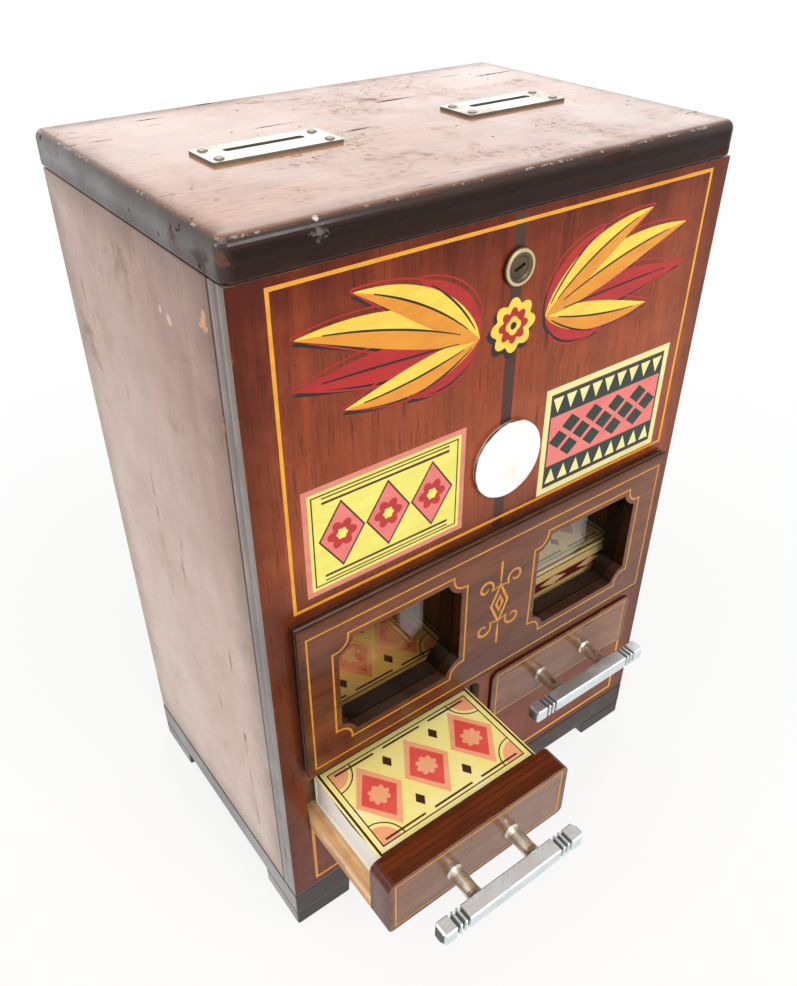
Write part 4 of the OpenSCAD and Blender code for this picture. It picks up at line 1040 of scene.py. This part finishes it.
def paintRightLabel(look):
    inner = x0, z0, x1, z1 = grown(look["box"], -look["inset"])
    band, end = look["band"], look["toothEnd"]
    bands = [rectangle(x0, z0, x1, z0 + band), rectangle(x0, z1 - band, x1, z1)]
    pitch = (x1 - x0) / look["teeth"]
    half = pitch * look["toothWide"]
    teeth = []
    for i in range(look["teeth"]):
        x = x0 + pitch * (i + 0.5)
        teeth.append(polygon([(x - half, z0 + end), (x + half, z0 + end), (x, z0 + band - end)]))
        teeth.append(polygon([(x - half, z1 - end), (x, z1 - band + end), (x + half, z1 - end)]))
    cx, cz = (x0 + x1) / 2, (z0 + z1) / 2
    stepX, stepZ = look["checkStep"]
    columns = range(-look["checkColumns"], look["checkColumns"] + 1)
    checks = [polygon(lozenge(cx + column * stepX, cz + row * stepZ, *look["check"]))
              for row in (-1, 0, 1) for column in columns if (row + column) % 2 == 0]
    layFilms("rightLabel", [
        ("labelCream", [polygon(rectangle(*look["box"]))]),
        ("labelPink", [polygon(rectangle(x0, z0 + band, x1, z1 - band))]),
        ("labelGreen", [polygon(b) for b in bands]),
        ("labelCream", teeth),
        ("labelGreen", checks),
        ("labelBrown", [ruled(rectangle(*inner), look["insetLine"])]),
    ], look["lift"])


paintLeftLabel(leftLabel)
paintRightLabel(rightLabel)


# Small painted ornament between the windows: four curls round a lozenge
ornament = dict(
    centre=(0.0, 133.0), lozenges=[(4.2, 9.5), (1.6, 3.6)], root=(0.8, 9.0), eye=(7.5, 10.54),
    curl=(4.0, 215, -1.05), stalk=(11, 21), line=1.2, lift=0.05)


def curl(start, centre, radius, angle, turns, steps=22):
    run = [start]
    for i in range(steps + 1):
        t = i / steps
        a = math.radians(angle + 360 * turns * t)
        r = radius * (1 - 0.7 * t)
        run.append((centre[0] + r * math.cos(a), centre[1] + r * math.sin(a)))
    return run


def paintOrnament(look):
    cx, cz = look["centre"]
    line = look["line"]
    strokes = [stroke(lozenge(cx, cz, *size), line, True) for size in look["lozenges"]]
    path = curl(look["root"], look["eye"], *look["curl"])
    strokes += [stroke([(cx + sx * x, cz + sz * z) for x, z in path], line, taper=True)
                for sx in (-1, 1) for sz in (-1, 1)]
    start, end = look["stalk"]
    strokes += [stroke([(cx, cz + sz * start), (cx, cz + sz * end)], line, taper=True) for sz in (-1, 1)]
    film("windowOrnament", strokes, "panelGold", look["lift"], **onPanel)


paintOrnament(ornament)


# Print on the packets: lozenges, fans and rules on top, and bands on the long face of each
packetPrint = dict(
    margin=1.2, inset=2.6, lines=(0.9, 0.5), lozenges=3, fan=8, fanLine=(9.6, 0.5), spot=(10.5, 2.0, 3.0),
    outer=(0.46, 15), inner=(0.36, 11), flower=(4.4, 8, 0.3), rule=(0.4, 16.5, 0.8), step=17.15,
    face=(1.6, 15.4, 0.7), band=(3, 6.0, 11.0), faceLozenge=(8.5, 8, 2.2), lift=0.03, rise=0.01)


def printPacket(name, node, body, slotName, colours, look):
    main, second, rule = colours
    low, high = boxOf(node)
    cx, cy = (low[0] + high[0]) / 2, (low[1] + high[1]) / 2
    box = grown((*low[:2], *high[:2]), -look["margin"])
    x0, y0, x1, y1 = inner = grown(box, -look["inset"])
    pitch = (x1 - x0) / look["lozenges"]
    places = [(cx + pitch * i, cy) for i in (-1, 0, 1)]
    corners = [((x0, y0), 0), ((x1, y0), 90), ((x1, y1), 180), ((x0, y1), 270)]
    ways = (-1, 1)

    def quarter(corner, turn, radius):
        return arcPoints(corner, radius, turn, turn + 90, 6)

    def lozenges(share, tall):
        return [polygon(lozenge(*place, pitch * share, tall)) for place in places]

    fanAway, fanWidth = look["fanLine"]
    spotAway, *spotSize = look["spot"]
    ruleShare, ruleAway, ruleWidth = look["rule"]
    reach = pitch * ruleShare
    layFilms(name + "Top", [
        (second, [polygon([corner, *quarter(corner, turn, look["fan"])]) for corner, turn in corners]),
        (rule, [ruled(rectangle(*edge), width) for edge, width in zip((box, inner), look["lines"])]),
        (rule, [stroke(quarter(corner, turn, fanAway), fanWidth) for corner, turn in corners]),
        (rule, [polygon(lozenge(cx + sx * pitch / 2, cy + sy * spotAway, *spotSize))
                for sx in ways for sy in ways]),
        (second, lozenges(*look["outer"])),
        (main, lozenges(*look["inner"])),
        (second, [flower(place, *look["flower"]) for place in places]),
        (rule, [stroke([(x - reach, y + s * ruleAway), (x + reach, y + s * ruleAway)], ruleWidth)
                for x, y in places for s in ways]),
    ], look["lift"], look["rise"], spot=onTop(high[2]), body=body, slotName=slotName)
    feet = [low[2] + i * look["step"] for i in range(round((high[2] - low[2]) / look["step"]))]
    faceLow, faceHigh, faceWidth = look["face"]
    bandEnd, bandLow, bandHigh = look["band"]
    middle, *size = look["faceLozenge"]
    layFilms(name + "Face", [
        (rule, [ruled(rectangle(box[0], z + faceLow, box[2], z + faceHigh), faceWidth) for z in feet]),
        (main, [polygon(rectangle(box[0] + bandEnd, z + bandLow, box[2] - bandEnd, z + bandHigh))
                for z in feet]),
        (second, [polygon(lozenge(x, z + middle, *size)) for x, _ in places for z in feet]),
    ], look["lift"], look["rise"], spot=onFront(low[1]), body=body, slotName=slotName)


packetInks = {
    "left": ("yellow_card", ("packetRed", "packetPink", "labelBrown")),
    "right": ("green_card", ("packetWine", "packetCream", "packetGreen")),
}
for side, inks in packetInks.items():
    printPacket(side + "Packet", side + "_drawer_packet", side + "_drawer", *inks, packetPrint)
for side, inks in packetInks.items():
    printPacket(side + "Stack", side + "_stack", "cabinet", *inks, packetPrint)


# Stage, in metres: pale floor that keeps the shadow and runs out to white between the distances in "clear", a
# white surround and soft lamps
stageLook = dict(
    floor="#f2f0ed", size=8.0, glow=(0.82, 1.0), clear=(0.16, 0.55), surround=0.44, white="#ffffff")


def seenDirectly():
    path = addNode("ShaderNodeLightPath").outputs
    return most(path["Is Camera Ray"], path["Is Glossy Ray"], path["Is Transmission Ray"])


def makeFloor(look):
    material = bpy.data.materials.new("paleFloor")
    openTree(material)
    matt = addNode("ShaderNodeBsdfDiffuse", {"Color": look["floor"]})
    white = addNode("ShaderNodeEmission", {"Color": look["white"], "Strength": 1.0})
    bright = span(lengthOf(objectPoint()), *look["clear"], *look["glow"])
    share = times(seenDirectly(), bright)
    mix = addNode("ShaderNodeMixShader", {0: share, 1: matt.outputs[0], 2: white.outputs[0]})
    addNode("ShaderNodeOutputMaterial", {0: mix.outputs[0]})
    mesh = bmesh.new()
    bmesh.ops.create_grid(mesh, x_segments=1, y_segments=1, size=look["size"])
    floor = newObject("floor", mesh, material)


def makeSurround(look):
    world = bpy.data.worlds.new("studio")
    openTree(world)
    strength = span(seenDirectly(), 0.0, 1.0, look["surround"], 1.0)
    light = addNode("ShaderNodeBackground", {"Color": look["white"], "Strength": strength})
    addNode("ShaderNodeOutputWorld", {0: light.outputs[0]})
    bpy.context.scene.world = world


# Each lamp: where it stands and aims in metres, its size, and the light it lays on the middle
lamps = {
    "topSoftbox": dict(at=(-0.5, -0.35, 1.5), aim=(0.0, 0.0, 0.15), size=(1.4, 1.4), level=0.42),
    "frontSoftbox": dict(at=(0.3, -1.5, 1.12), aim=(0.0, 0.0, 0.15), size=(1.1, 0.9), level=0.46),
    "backGlow": dict(at=(0.85, 1.15, 0.75), aim=(0.0, 0.0, 0.25), size=(1.7, 0.9), level=0.13),
    "leftFill": dict(at=(-1.6, 0.3, 0.8), aim=(0.0, 0.0, 0.15), size=(1.0, 1.0), level=0.25),
}
# Camera at the photograph's place, with lens and frame in millimetres. It sees from "near", in metres.
cameraLook = dict(eye=(-184.9, -252.3, 369.0), aim=(-45.1, -64.0, 201.7), lens=32.755, frame=36.0, near=0.01)


def placeAiming(name, data, eye, aim):
    item = bpy.data.objects.new(name, data)
    item.location = eye
    item.rotation_euler = (aim - eye).to_track_quat("-Z", "Y").to_euler()
    bpy.context.scene.collection.objects.link(item)
    return item


def makeLamp(name, look):
    data = bpy.data.lights.new(name, "AREA")
    data.shape = "RECTANGLE"
    data.size, data.size_y = look["size"]
    eye, aim = Vector(look["at"]), Vector(look["aim"])
    data.energy = look["level"] * math.pi ** 2 * (aim - eye).length_squared
    placeAiming(name, data, eye, aim)


def makeCamera(look):
    data = bpy.data.cameras.new("photoCamera")
    data.lens = look["lens"]
    data.sensor_width = look["frame"]
    data.clip_start = look["near"]
    camera = placeAiming("photoCamera", data, Vector(look["eye"]) * mm, Vector(look["aim"]) * mm)
    bpy.context.scene.camera = camera


makeFloor(stageLook)
makeSurround(stageLook)
for name, look in lamps.items():
    makeLamp(name, look)
makeCamera(cameraLook)
bpy.context.scene.view_settings.view_transform = "Standard"
print("stage set")
